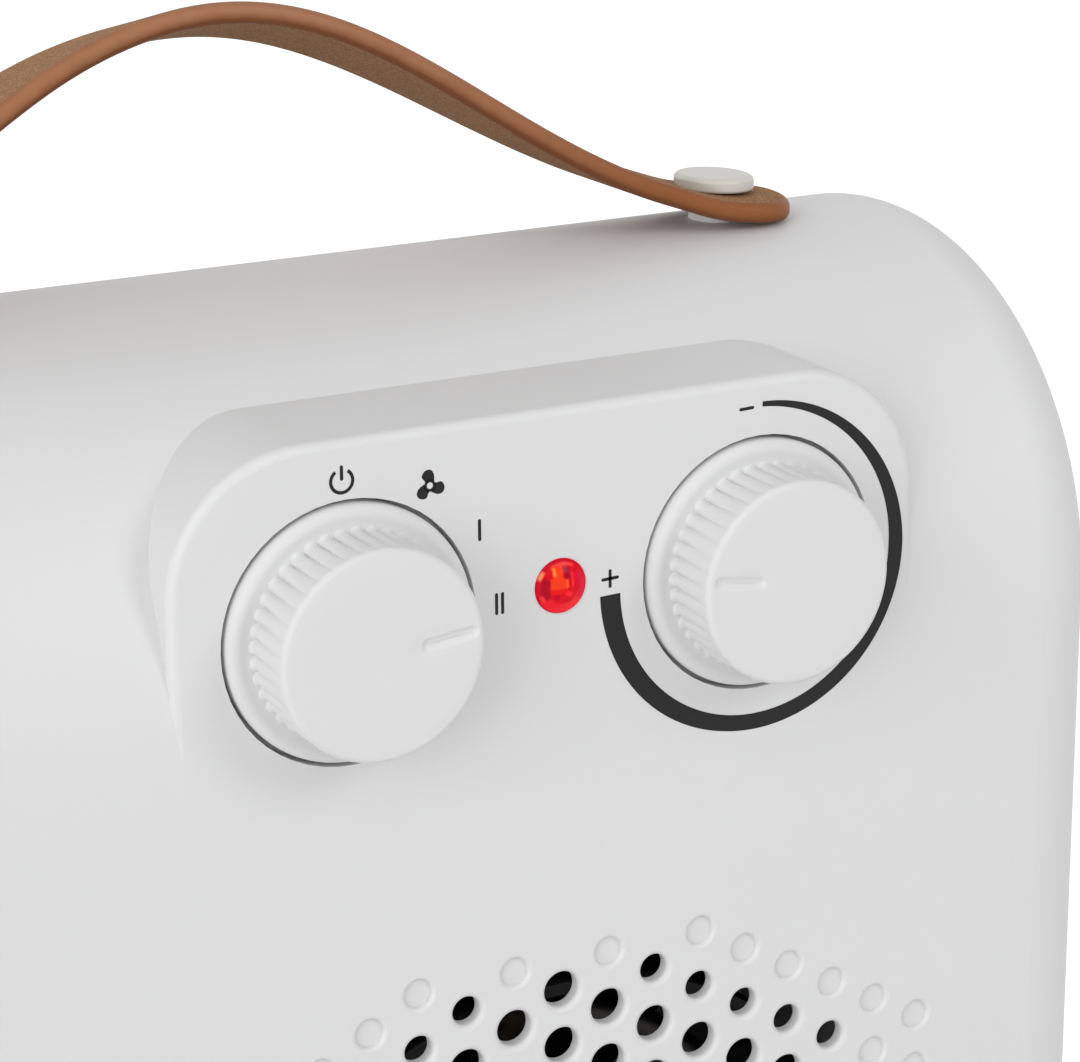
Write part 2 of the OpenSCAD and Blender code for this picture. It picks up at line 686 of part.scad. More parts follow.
// Indicator lens with its dome in front of the panel and its flange behind it
dome_h = 2;
lens_flange = 1.5;
module indicator_lens() color([0.85, 0.10, 0.06]) seated() difference() {
    union() {
        r = lens_d / 2;
        ball = (r * r + dome_h * dome_h) / (2 * dome_h);
        at(panel_shift, knob_z + lens_rise, -dome_h) rotate_extrude() intersection() {
            translate([0, ball]) circle(ball, $fn = 128);
            square([r, dome_h]);
        }
        at(panel_shift, knob_z + lens_rise) cylinder(r = r, h = wall);
        at(panel_shift, knob_z + lens_rise, wall) cylinder(r = r + 1.2, h = lens_flange);
    }
    at(panel_shift, knob_z + lens_rise, 0.5) cylinder(r = lens_d / 2 - 1.2, h = wall + lens_flange + cut);
}

// Sleeve that holds the lamp behind the lens
holder_r = 5;
lamp_r = 2.9;
holder_y = wall + lens_flange;
module lamp_holder() color(dark) seated() difference() {
    at(panel_shift, knob_z + lens_rise, holder_y)
        cylinder(r = holder_r, h = plate_y + plate_t + 3 - holder_y);
    at(panel_shift, knob_z + lens_rise, holder_y - cut)
        cylinder(r = lamp_r + seat_gap, h = plate_y + plate_t + 1 - holder_y + cut);
}

// Neon lamp, its round tip towards the lens
module neon_lamp() color([1, 0.55, 0.3]) seated() at(panel_shift, knob_z + lens_rise, holder_y + 3) {
    cylinder(r = lamp_r, h = plate_y + plate_t + 1 - holder_y - 3);
    sphere(lamp_r);
}

// Round air duct with lugs to the front housing, and a spider behind the fan for the motor
module air_duct() color(dark) seated() difference() {
    union() {
        at(fan_x, fan_z, wall) ring(duct_r + duct_t, duct_r, spider_y + spider_t - wall);
        for (a = [0:90:270]) at(fan_x, fan_z, lug_y) rotate([0, 0, a])
            linear_extrude(lug_t) difference() {
                union() {
                    translate([duct_r + duct_t / 2, -4.5]) square([lug_r - duct_r - duct_t / 2, 9]);
                    translate([lug_r, 0]) circle(4.5);
                }
                translate([lug_r, 0]) circle(1.6);
            }
        at(fan_x, fan_z, spider_y) {
            cylinder(r = motor_bolt_x + 5, h = spider_t);
            for (a = [45:90:315]) rotate([0, 0, a]) translate([hub_r, -3, 0])
                cube([duct_r + duct_t / 2 - hub_r, 6, spider_t]);
        }
    }
    at(fan_x, fan_z, spider_y - cut) cylinder(r = bearing_r + 2, h = spider_t + 2 * cut);
    for (s = [-1, 1]) at(fan_x + s * motor_bolt_x, fan_z, spider_y - cut)
        cylinder(r = motor_bolt_r + run_fit, h = spider_t + 2 * cut);
}

// Rings that the heating coils lie on
function ring_r(i) = (duct_r - 8) * (i + 1) / coil_rings - 3;
module coil_tubes(grow) at(fan_x, fan_z, mica_y + mica_deep / 2)
    for (i = [0:coil_rings - 1]) rotate_extrude() translate([ring_r(i), 0]) circle(coil_r + grow, $fn = 32);

// Two crossed mica boards, notched for the coils
module heater_frame() color(mica) seated() difference() {
    for (a = [0, 90]) at(fan_x, fan_z, mica_y) rotate([0, 0, a])
        translate([-duct_r + seat_gap, -mica_t / 2, 0]) cube([2 * (duct_r - seat_gap), mica_t, mica_deep]);
    coil_tubes(seat_gap / 3);
}

// Heating coils, as the rings that their turns fill
module heating_coils() color(copper) seated() coil_tubes(0);

// Thermal cut-out on the upper end of the upright board
module thermal_cutout() color(steel) seated() {
    at(fan_x, fan_z + duct_r - 14, mica_y + mica_deep) cylinder(r = 7, h = 3);
    at(fan_x, fan_z + duct_r - 14, mica_y + mica_deep + 3) cylinder(r = 5, h = 1.5);
}

// One-shot thermal fuse lying along the level board
module thermal_fuse() color([0.75, 0.75, 0.72]) seated()
    translate([fan_x - duct_r + 8, mica_y + mica_deep + 2, fan_z]) rotate([0, 90, 0]) {
        cylinder(r = 1.9, h = 11);
        translate([0, 0, -4]) cylinder(r = 0.6, h = 19);
    }

// Axial fan: a cup hub and curved blades cut to the duct's circle
module fan_impeller() color(dark) seated() at(fan_x, fan_z, fan_y) difference() {
    union() {
        difference() {
            cylinder(r = hub_r, h = fan_deep);
            translate([0, 0, 3]) cylinder(r = hub_r - 1.5, h = fan_deep);
        }
        cylinder(d = shaft_d + 5, h = fan_deep - 4);
        for (i = [0:fan_blades - 1]) rotate([0, 0, 360 * i / fan_blades]) fan_blade();
    }
    translate([0, 0, -cut]) cylinder(r = shaft_d / 2 + run_fit / 5, h = fan_deep + 2 * cut);
}

// One blade: a piece of a wide tube, set across the hub at an angle
blade_bend = 40;            // radius of the tube
blade_chord = 32;
blade_t = 1.6;
module fan_blade() intersection() {
    ring(fan_r, hub_r - blade_t / 2, fan_deep);
    translate([0, -blade_chord / 8, fan_deep / 2]) rotate([0, 0, 8]) rotate([28, 0, 0])
        translate([0, 0, -blade_bend]) rotate([0, 90, 0]) rotate([0, 0, 180]) intersection() {
            ring(blade_bend + blade_t * 0.6, blade_bend - blade_t * 0.4, fan_r);
            translate([0, -blade_chord / 2, 0]) cube([1.5 * blade_bend, blade_chord, fan_r]);
        }
}

module motor_shaft() color(steel) seated() at(fan_x, fan_z, fan_y - 2)
    cylinder(d = shaft_d, h = motor_back + 2 - fan_y + 2);

module motor_rotor() color(steel) seated() at(fan_x, fan_z, stack_y + 0.5)
    ring(rotor_d / 2, shaft_d / 2 + run_fit / 5, stack_t - 1);

// Lamination stack with the rotor's bore and the window for the coil
window_h = 14;
yoke = 9;
stack_low = rotor_d / 2 + 6 + window_h + yoke;
module motor_stator() color([0.45, 0.45, 0.47]) seated() difference() {
    at(fan_x, fan_z, stack_y) linear_extrude(stack_t) difference() {
        translate([-stack_w / 2, -rotor_d / 2 - 10]) square([stack_w, rotor_d / 2 + 10 + stack_low]);
        circle(rotor_d / 2 + 0.4);
        translate([-stack_w / 2 + yoke, rotor_d / 2 + 6]) square([stack_w - 2 * yoke, window_h]);
    }
    for (s = [-1, 1]) at(fan_x + s * motor_bolt_x, fan_z, stack_y - cut)
        cylinder(r = motor_bolt_r + run_fit, h = stack_t + 2 * cut);
}

// Copper winding round the lower leg of the stack
module motor_coil() color(copper) seated() at(fan_x, fan_z, stack_y) {
    leg_z = stack_low - yoke;
    wind = window_h / 2;
    wind_y = bracket_t + bearing_l - 1;     // the winding stays clear of the duct's spider
    wind_l = stack_w / 2;
    difference() {
        translate([-wind_l / 2, leg_z - wind, -wind_y]) cube([wind_l, yoke + 2 * wind, stack_t + 2 * wind_y]);
        translate([-wind_l / 2 - cut, leg_z - seat_gap, -seat_gap])
            cube([wind_l + 2 * cut, yoke + 2 * seat_gap, stack_t + 2 * seat_gap]);
    }
}

// A motor bracket, drawn along Z from its flat outer face: strap, two pillars and a bearing cup
bracket_w = 4 * pillar_r;
module motor_bracket() difference() {
    union() {
        linear_extrude(bracket_t) slot2d(2 * motor_bolt_x + bracket_w, bracket_w);
        for (s = [-1, 1]) translate([s * motor_bolt_x, 0, 0])
            cylinder(r = pillar_r, h = bracket_t + bearing_l);
        cylinder(r = bearing_r + 1.5, h = bracket_t + bearing_l - 1);
    }
    translate([0, 0, bracket_t - 1]) cylinder(r = bearing_r, h = bearing_l + cut);
    translate([0, 0, -cut]) cylinder(r = shaft_d / 2 + 0.5, h = 2 * bracket_t);
    for (s = [-1, 1]) translate([s * motor_bolt_x, 0, -cut])
        cylinder(r = motor_bolt_r + run_fit, h = bracket_t + bearing_l + 2 * cut);
}

module motor_bracket_front() color(steel) seated() at(fan_x, fan_z, bracket_y) motor_bracket();
module motor_bracket_rear() color(steel) seated()
    at(fan_x, fan_z, motor_back) mirror([0, 0, 1]) motor_bracket();

// Sintered bushes in the two brackets
module motor_bearings() color([0.7, 0.55, 0.3]) seated()
    for (y = [bracket_y + bracket_t - 1, motor_back - bracket_t + 1 - bearing_l]) at(fan_x, fan_z, y)
        ring(bearing_r, shaft_d / 2 + run_fit, bearing_l);

// A pan-head screw along Z, its head at the start
module screw(r, head_r, head_h, length) {
    cylinder(r = head_r, h = head_h);
    translate([0, 0, head_h]) cylinder(r = r, h = length);
}

module motor_screws() color(steel) seated() for (s = [-1, 1])
    at(fan_x + s * motor_bolt_x, fan_z, motor_back + motor_head[1]) mirror([0, 0, 1])
        screw(motor_bolt_r, motor_head[0], motor_head[1], motor_back - spider_y);

module duct_screws() color(steel) seated() for (a = [0:90:270])
    at(fan_x + lug_r * cos(a), fan_z + lug_r * sin(a), lug_y + lug_t + small_head[1])
        mirror([0, 0, 1]) screw(small_screw_r, small_head[0], small_head[1], duct_screw_l);

module control_screws() color(steel) seated() for (p = plate_posts)
    at(panel_shift + p[0], knob_z + p[1], plate_y + plate_t + small_head[1])
        mirror([0, 0, 1]) screw(small_screw_r, small_head[0], small_head[1], plate_screw_l);

module housing_screws() color(steel) seated() for (p = screw_posts)
    at(p[0], p[1], seam_y + seam_gap + well_floor + screw_head_h) mirror([0, 0, 1])
        screw(screw_r - run_fit, screw_head_r, screw_head_h, well_floor + seam_gap + screw_bite);

// Tip-over switch: a housing on the floor of the body, over the plunger
tip_case = 9;
module tip_switch_body() color(dark) seated() translate([tip_x, tip_y, 0]) difference() {
    translate([-tip_case, -tip_case, floor_z]) cube([2 * tip_case, 2 * tip_case, tip_top - floor_z]);
    translate([0, 0, floor_z - cut]) cylinder(r = collar_r + slip_fit, h = tip_top - floor_z - 3 + cut);
}

// Plunger, pushed up by the surface that the heater stands on
module tip_switch_plunger() color(off_white) seated() translate([tip_x, tip_y, 0]) {
    cylinder(r = plunger_r - 1, h = 1);
    translate([0, 0, 1]) cylinder(r = plunger_r, h = collar_z + 2);
    translate([0, 0, collar_z]) cylinder(r = collar_r, h = 2);
}

// Return spring between the plunger's collar and the roof of its housing
spring_wire = 0.5;
spring_r = plunger_r + 1.2;
spring_turns = 8;
spring_steps = 12;
spring_low = collar_z + 2 + seat_gap + spring_wire;
spring_high = tip_top - 3 - seat_gap - spring_wire;
function spring_ring(i) =
    let (turn = i / spring_steps, a = 360 * turn,
         z = spring_low + (spring_high - spring_low) * turn / spring_turns)
    [for (j = [0:5]) let (b = 60 * j, r = spring_r + spring_wire * cos(b))
        [r * cos(a), r * sin(a), z + spring_wire * sin(b)]];
module tip_switch_spring() color(steel) seated() translate([tip_x, tip_y, 0]) {
    last = spring_turns * spring_steps;
    points = [for (i = [0:last]) each spring_ring(i)];
    sides = [for (i = [0:last - 1]) for (j = [0:5])
        let (a = 6 * i + j, b = 6 * i + (j + 1) % 6) each [[a, a + 6, b + 6], [a, b + 6, b]]];
    polyhedron(points, concat([[for (j = [0:5]) j]], sides, [[for (j = [5:-1:0]) 6 * last + j]]));
}

// Terminal block on the rear wall, with three screw ways
module terminal_block() color([0.9, 0.9, 0.88]) seated()
    translate([gland_x - block_size[0] / 2, body_d - wall - block_post[2] - block_size[1],
               gland_z + block_rise - block_size[2] / 2])
        difference() {
            cube(block_size);
            for (i = [0:2]) translate([block_size[0] * (i + 0.5) / 3, -cut, block_size[2] / 2]) {
                rotate([-90, 0, 0]) cylinder(r = block_size[0] / 14, h = block_size[1] / 2 + cut);
                translate([0, block_size[1] / 2 + cut, -block_size[2]])
                    cylinder(r = block_size[0] / 18, h = 2 * block_size[2]);
            }
        }

// Gland in the rear housing that the cord comes out of
module cord_gland() color(dark) seated() difference() {
    union() {
        at(gland_x, gland_z, gland_seat_y - gland_l) cylinder(r = gland_r, h = gland_l);
        at(gland_x, gland_z, gland_seat_y) cylinder(r = gland_r + gland_flange, h = gland_flange - 0.4);
    }
    at(gland_x, gland_z, gland_seat_y - gland_l - cut) cylinder(d = cord_d, h = gland_l + 2 * gland_flange);
}

// Clamp bar over the cord, screwed to two posts of the rear housing
clamp_y = body_d - wall - clamp_post[2] - clamp_bar[1];
module cord_clamp() color(dark) seated() difference() {
    translate([gland_x - clamp_bar[0] / 2, clamp_y, gland_z + clamp_rise - clamp_bar[2] / 2]) cube(clamp_bar);
    for (s = [-1, 1]) at(gland_x + s * clamp_post[0], gland_z + clamp_rise, clamp_y - cut)
        cylinder(r = small_screw_r + seat_gap, h = clamp_bar[1] + 2 * cut);
}

module clamp_screws() color(steel) seated() for (s = [-1, 1])
    at(gland_x + s * clamp_post[0], gland_z + clamp_rise, clamp_y - small_head[1])
        screw(small_screw_r, small_head[0], small_head[1], clamp_post[2]);

// Four rubber feet with a rounded rim, two on each housing
module rubber_feet() color(dark) seated()
    for (x = [-foot_x, foot_x]) for (y = [foot_inset, body_d - foot_inset])
        translate([x, y, 0]) rotate_extrude() {
            round_r = 1;
            square([foot_d / 2 - 1 - round_r, foot_h]);
            translate([0, round_r]) square([foot_d / 2 - 1, foot_h - round_r]);
            translate([foot_d / 2 - 1 - round_r, round_r]) circle(round_r);
            translate([0, foot_h - 1.2]) square([foot_d / 2, 1.2]);
        }

front_housing();
rear_housing();
handle_strap();
strap_rivets();
rivet_washers();
switch_knob();
switch_spindle();
rotary_switch();
thermostat_knob();
thermostat_spindle();
thermostat_body();
thermostat_bimetal();
control_plate();
indicator_lens();
lamp_holder();
neon_lamp();
air_duct();
heater_frame();
heating_coils();
thermal_cutout();
thermal_fuse();
fan_impeller();
motor_shaft();
motor_rotor();
motor_stator();
motor_coil();
motor_bracket_front();
motor_bracket_rear();
motor_bearings();
motor_screws();
duct_screws();
control_screws();
housing_screws();
tip_switch_body();
tip_switch_plunger();
tip_switch_spring();
terminal_block();
cord_gland();
cord_clamp();
clamp_screws();
rubber_feet();
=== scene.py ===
"""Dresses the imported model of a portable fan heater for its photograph.

The heater has a white moulded body with a half-round top, a raised control panel with two
ribbed knobs and a red indicator, a grille of round holes and a leather strap handle.
Lengths are in millimetres in the classes, and become metres when a mesh is made.
"""

from __future__ import annotations

import logging
import math
from collections.abc import Callable, Sequence
from dataclasses import dataclass, field
from enum import Enum
from functools import cached_property

import bmesh
import bpy
import numpy as np
from mathutils import Matrix

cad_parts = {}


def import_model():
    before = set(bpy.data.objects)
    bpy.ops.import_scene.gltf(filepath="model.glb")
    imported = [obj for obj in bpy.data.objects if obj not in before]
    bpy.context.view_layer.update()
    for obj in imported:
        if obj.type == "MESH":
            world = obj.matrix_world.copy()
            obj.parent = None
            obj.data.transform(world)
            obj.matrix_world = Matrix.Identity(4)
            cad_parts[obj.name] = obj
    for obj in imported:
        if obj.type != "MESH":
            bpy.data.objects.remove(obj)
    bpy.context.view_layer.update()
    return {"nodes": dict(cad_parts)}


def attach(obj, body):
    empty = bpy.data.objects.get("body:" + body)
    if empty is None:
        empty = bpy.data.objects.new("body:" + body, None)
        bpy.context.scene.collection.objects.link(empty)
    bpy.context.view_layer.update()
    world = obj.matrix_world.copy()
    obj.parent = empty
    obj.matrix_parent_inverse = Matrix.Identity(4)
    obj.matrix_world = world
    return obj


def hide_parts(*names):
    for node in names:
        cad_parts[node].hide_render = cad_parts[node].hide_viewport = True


LOG = logging.getLogger("heater")
MM = 0.001
WHITE = (1.0, 1.0, 1.0, 1.0)
MERGE = 1e-3
SLIVER = 1e-4


class Body(Enum):
    """The bodies that the pieces made here ride on."""

    CASING = "casing"
    SWITCH = "switch"
    THERMOSTAT = "thermostat"


class Side(Enum):
    """The faces of the leather strap, as the values of its attribute.

    The edges lie between them, at their height as a share of the strap's thickness.
    """

    GRAIN = 1.0
    FLESH = -1.0


def operator(operation: str, reflected: bool = False) -> Callable[["Wire", object], "Wire"]:
    """Makes an operator of a wire, or its reflected form, which adds a Math node."""
    def method(wire: "Wire", other: object) -> "Wire":
        """The node's output, from the wire and a value or another wire."""
        inputs = {0: other, 1: wire} if reflected else {0: wire, 1: other}
        return wire.graph.node("ShaderNodeMath", {"operation": operation}, inputs)

    return method


class Wire:
    """A node's output socket that takes part in arithmetic."""

    __add__, __radd__ = operator("ADD"), operator("ADD", reflected=True)
    __sub__, __rsub__ = operator("SUBTRACT"), operator("SUBTRACT", reflected=True)
    __mul__, __rmul__ = operator("MULTIPLY"), operator("MULTIPLY", reflected=True)
    __truediv__ = operator("DIVIDE")
    __pow__ = operator("POWER")
    __gt__ = operator("GREATER_THAN")
    __lt__ = operator("LESS_THAN")

    def __init__(self, graph: "Graph", socket: bpy.types.NodeSocket) -> None:
        """Wraps a socket of a graph."""
        self.graph = graph
        self.socket = socket


class Graph:
    """A material's or world's node tree, written as expressions."""

    def __init__(self, tree: bpy.types.NodeTree) -> None:
        """Starts from an empty tree."""
        self.tree = tree
        tree.nodes.clear()

    def node(self, kind: str, settings: dict | None = None, inputs: dict | None = None,
             output: int | str = 0) -> Wire | None:
        """Adds one node.

        Args:
            kind: The node's type.
            settings: Its properties, set before its inputs.
            inputs: Values or wires by the name or number of the input.
            output: Name or number of the output that is returned.

        Returns:
            That output as a wire, or None where the node has no output.
        """
        made = self.tree.nodes.new(kind)
        for key, value in (settings or {}).items():
            setattr(made, key, value)
        for key, value in (inputs or {}).items():
            if isinstance(value, Wire):
                self.tree.links.new(value.socket, made.inputs[key])
            else:
                made.inputs[key].default_value = value
        return Wire(self, made.outputs[output]) if made.outputs else None

    def coordinates(self, scale: Sequence[float] = (1.0, 1.0, 1.0)) -> Wire:
        """Object coordinates, scaled by axis."""
        place = self.node("ShaderNodeTexCoord", output="Object")
        return self.node("ShaderNodeMapping", {}, {"Vector": place, "Scale": tuple(scale)})

    def noise(self, vector: Wire, size: float, detail: float = 2.0, roughness: float = 0.5) -> Wire:
        """Noise whose features are about size millimetres across."""
        return self.node("ShaderNodeTexNoise", {}, {
            "Vector": vector, "Scale": 1.0 / (size * MM), "Detail": detail, "Roughness": roughness})

    def mix(self, factor: object, first: object, second: object) -> Wire:
        """Mixes two colours."""
        return self.node("ShaderNodeMix", {"data_type": "RGBA"},
                         {0: factor, 6: first, 7: second}, output=2)

    def tint(self, factor: Wire, colour: Sequence[float], low: float, high: float) -> Wire:
        """A colour that runs from low to high times itself with the factor."""
        return self.mix(factor, rgba([c * low for c in colour]), rgba([c * high for c in colour]))

    def bump(self, height: Wire, depth: float, strength: float) -> Wire:
        """A Bump node whose height of one stands for depth millimetres."""
        return self.node("ShaderNodeBump", {}, {
            "Height": height, "Distance": depth * MM, "Strength": strength})

    def surface(self, inputs: dict) -> None:
        """Ends the graph in one Principled shader with the given inputs."""
        shader = self.node("ShaderNodeBsdfPrincipled", {}, inputs)
        self.node("ShaderNodeOutputMaterial", {}, {"Surface": shader})


def new_material(name: str) -> tuple[bpy.types.Material, Graph]:
    """An empty material and its graph."""
    material = bpy.data.materials.new(name)
    material.use_nodes = True
    return material, Graph(material.node_tree)


def rgba(colour: Sequence[float]) -> tuple[float, float, float, float]:
    """A colour with full opacity."""
    return (colour[0], colour[1], colour[2], 1.0)


@dataclass(frozen=True)
class MouldedPlastic:
    """Injection-moulded plastic: a fine eroded texture, faint clouding and an even satin gloss."""

    name: str
    colour: tuple[float, float, float]
    roughness: float = 0.42
    grain: float = 0.35
    depth: float = 0.012
    clouding: float = 0.012
    gloss: float = 0.5
    cloud_size: float = 28.0
    sheen_size: float = 6.0

    def build(self) -> bpy.types.Material:
        """Makes the material."""
        material, graph = new_material(self.name)
        place = graph.coordinates()
        cloud = graph.noise(place, self.cloud_size, 3.0)
        shade = graph.tint(cloud, self.colour, 1 - self.clouding, 1 + self.clouding)
        speck = graph.noise(place, self.grain)
        rough = self.roughness + (graph.noise(place, self.sheen_size) - 0.5) * 0.08
        graph.surface({"Base Color": shade, "Roughness": rough, "Specular IOR Level": self.gloss,
                       "Normal": graph.bump(speck, self.depth, 0.5)})
        return material


@dataclass(frozen=True)
class PrintedInk:
    """Pad-printed ink: nearly black, slightly uneven in cover."""

    name: str
    colour: tuple[float, float, float] = (0.007, 0.007, 0.007)
    grain: float = 0.5

    def build(self) -> bpy.types.Material:
        """Makes the material."""
        material, graph = new_material(self.name)
        cover = graph.noise(graph.coordinates(), self.grain, 3.0)
        shade = graph.tint(cover, self.colour, 0.85, 1.2)
        graph.surface({"Base Color": shade, "Roughness": 0.45 + cover * 0.1,
                       "Specular IOR Level": 0.25})
        return material


@dataclass(frozen=True)
class Leather:
    """Strap leather: sueded top and underside with a speckled nap, and domed edges with a painted
    highlight that shades off towards their borders.

    Attributes:
        grip: Distance from the middle at which the edge has its deepest colour.
        side: Name of the attribute that tells the faces and the edges' heights apart.
        sheet_from: Size of that attribute from which a place lies on a face.
        highlight_height: Height at which the edge's painted highlight is brightest.
        shade_reach: Height from there at which the edge's painted shade is darkest.
    """

    name: str
    face: tuple[float, float, float] = (0.430, 0.228, 0.112)
    face_dark: tuple[float, float, float] = (0.190, 0.093, 0.040)
    flesh: tuple[float, float, float] = (0.340, 0.174, 0.076)
    flesh_dark: tuple[float, float, float] = (0.142, 0.064, 0.024)
    edge: tuple[float, float, float] = (0.350, 0.152, 0.076)
    edge_end: tuple[float, float, float] = (0.265, 0.088, 0.026)
    edge_painted_shade: tuple[float, float, float] = (0.165, 0.053, 0.016)
    grip: float = 75.0
    side: str = "strap_side"
    sheet_from: float = 0.7
    highlight_height: float = 0.20
    shade_reach: float = 0.52
    nap_size: float = 0.42
    mottle_size: float = 5.0
    wear_size: float = 3.0

    def build(self) -> bpy.types.Material:
        """Makes the material.

        The nap is fine noise whose middle range is stretched, over a coarse mottle. The edge has a
        painted highlight at one height, which turns into painted shade with the square of the
        height from there, and its colour deepens with the square of the distance from the middle of
        the strap.
        """
        material, graph = new_material(self.name)
        place = graph.coordinates()
        side = graph.node("ShaderNodeAttribute", {"attribute_name": self.side}, output="Fac")
        top = side > self.sheet_from
        under = side < -self.sheet_from
        grain = graph.noise(place, self.nap_size, 2.0, 0.6)
        speck = graph.node("ShaderNodeMapRange", {}, {0: grain, 1: 0.38, 2: 0.62, 3: 0.0, 4: 1.0})
        nap = speck * 0.75 + graph.noise(place, self.mottle_size, 4.0, 0.6) * 0.25
        face = graph.mix(nap, rgba(self.face_dark), rgba(self.face))
        flesh = graph.mix(nap, rgba(self.flesh_dark), rgba(self.flesh))
        # Painted highlight along the rounded edge, falling off to painted shade at its upper and
        # lower borders.
        edge_highlight_and_shade = 1 - ((side - self.highlight_height) / self.shade_reach) ** 2
        wear = (graph.noise(place, self.wear_size, 3.0) - 0.5) * 0.5
        # The edge's colour is palest toward the strap's middle and deepest toward its ends.
        along = graph.node("ShaderNodeSeparateXYZ", {}, {0: place}, output="X")
        toward_middle = 1 - (along / (self.grip * MM)) ** 2
        edge = graph.mix(edge_highlight_and_shade + wear, rgba(self.edge_painted_shade),
                         graph.mix(toward_middle, rgba(self.edge_end), rgba(self.edge)))
        shade = graph.mix(under, graph.mix(top, edge, face), flesh)
        rough = 0.42 + (top + under) * 0.43
        relief = speck * (top + under) * 0.8 + graph.noise(place, 0.4) * 0.06
        graph.surface({"Base Color": shade, "Roughness": rough, "Specular IOR Level": 0.2,
                       "Normal": graph.bump(relief, 0.12, 0.6)})
        return material


@dataclass(frozen=True)
class LitLens:
    """Red indicator lens lit from behind: its facets glow, under a glossy skin, and a few thin arcs
    of that glow are painted highlights.

    Attributes:
        glow: Name of the attribute that holds the light's colour, painted highlights included.
    """

    name: str
    red: tuple[float, float, float] = (0.100, 0.003, 0.006)
    glow: str = "facet_glow_and_highlights"

    def build(self) -> bpy.types.Material:
        """Makes the material."""
        material, graph = new_material(self.name)
        glow = graph.node("ShaderNodeAttribute", {"attribute_name": self.glow}, output="Color")
        graph.surface({"Base Color": rgba(self.red), "Roughness": 0.12, "Specular IOR Level": 0.06,
                       "Emission Color": glow, "Emission Strength": 1.0})
        return material


@dataclass(frozen=True)
class SheetMetal:
    """Steel, bronze or copper with a faint drawn texture."""

    name: str
    colour: tuple[float, float, float]
    roughness: float = 0.34
    stretch: tuple[float, float, float] = (1.0, 1.0, 9.0)
    streak: float = 2.2

    def build(self) -> bpy.types.Material:
        """Makes the material."""
        material, graph = new_material(self.name)
        drawn = graph.noise(graph.coordinates(self.stretch), self.streak, 4.0, 0.6)
        shade = graph.tint(drawn, self.colour, 0.82, 1.1)
        graph.surface({"Base Color": shade, "Metallic": 1.0,
                       "Roughness": self.roughness + (drawn - 0.5) * 0.2,
                       "Normal": graph.bump(drawn, 0.01, 0.3)})
        return material


@dataclass(frozen=True)
class Mineral:
    """Ceramic, mica or bare plastic inside: matt, mottled and slightly grainy."""

    name: str
    colour: tuple[float, float, float]
    roughness: float = 0.6
    fleck: float = 1.6
    contrast: float = 0.15
    grit: float = 0.5

    def build(self) -> bpy.types.Material:
        """Makes the material."""
        material, graph = new_material(self.name)
        place = graph.coordinates()
        fleck = graph.noise(place, self.fleck, 4.0, 0.65)
        shade = graph.tint(fleck, self.colour, 1 - self.contrast, 1 + self.contrast)
        graph.surface({"Base Color": shade, "Roughness": self.roughness + (fleck - 0.5) * 0.15,
                       "Normal": graph.bump(graph.noise(place, self.grit), 0.02, 0.4)})
        return material


class Finish(Enum):
    """Every finish on the heater."""

    HOUSING = MouldedPlastic("housing_white", (0.694, 0.695, 0.697), 0.54)
    KNOB = MouldedPlastic("knob_white", (0.706, 0.707, 0.708), 0.66, grain=0.25, depth=0.004,
                          gloss=0.25)
    RIVET = MouldedPlastic("rivet_ivory", (0.600, 0.585, 0.535), 0.34, grain=0.25, depth=0.006)
    DARK = MouldedPlastic("black_plastic", (0.012, 0.012, 0.013), 0.6, grain=0.5, depth=0.02,
                          clouding=0.08, gloss=0.05)
    INK = PrintedInk("sign_ink")
    LEATHER = Leather("strap_leather")
    LENS = LitLens("lens_red")
    STEEL = SheetMetal("plated_steel", (0.56, 0.57, 0.58))
    BRONZE = SheetMetal("sintered_bronze", (0.46, 0.32, 0.14), 0.5)
    COPPER = SheetMetal("enamelled_copper", (0.52, 0.20, 0.09), 0.3, stretch=(1.0, 14.0, 1.0))
    LAMINATION = SheetMetal("core_steel", (0.22, 0.22, 0.24), 0.45, stretch=(0.3, 22.0, 0.3))
    WIRE = SheetMetal("resistance_wire", (0.10, 0.09, 0.085), 0.45, stretch=(6.0, 6.0, 6.0))
    CERAMIC = Mineral("ceramic", (0.66, 0.64, 0.58), 0.5)
    # Dark bronze mica, darkened further as painted shade so the heater's inside reads dark through
    # the grille.
    MICA = Mineral("mica_board_shade_darkened", (0.085, 0.068, 0.048), 0.45, fleck=3.0, contrast=0.3)
    LAMP_GLASS = Mineral("lamp_glass", (0.75, 0.30, 0.12), 0.12, contrast=0.05)
    RUBBER = Mineral("foot_rubber", (0.016, 0.016, 0.017), 0.75, fleck=0.8, contrast=0.2)

    @cached_property
    def material(self) -> bpy.types.Material:
        """The finish's material, made when it is first asked for."""
        return self.value.build()


def grid_faces(rows: int, columns: int, close_rows: bool = False,
               close_columns: bool = False) -> np.ndarray:
    """Quads of a grid of points that is stored row by row.

    Args:
        rows: Number of rows.
        columns: Number of points in a row.
        close_rows: Whether the last row joins the first.
        close_columns: Whether the last point of a row joins its first.

    Returns:
        An array of four point numbers a quad.
    """
    down = np.arange(rows if close_rows else rows - 1)[:, None]
    across = np.arange(columns if close_columns else columns - 1)[None, :]
    below, beside = (down + 1) % rows, (across + 1) % columns
    return np.stack([down * columns + across, down * columns + beside,
                     below * columns + beside, below * columns + across], axis=-1).reshape(-1, 4)


def around(count: int) -> np.ndarray:
    """Angles of evenly spaced places round a circle, in radians."""
    return np.linspace(0, 2 * np.pi, count + 1)[:-1]


def unit(angle: np.ndarray) -> np.ndarray:
    """Unit vectors at angles in radians."""
    return np.stack([np.cos(angle), np.sin(angle)], axis=-1)


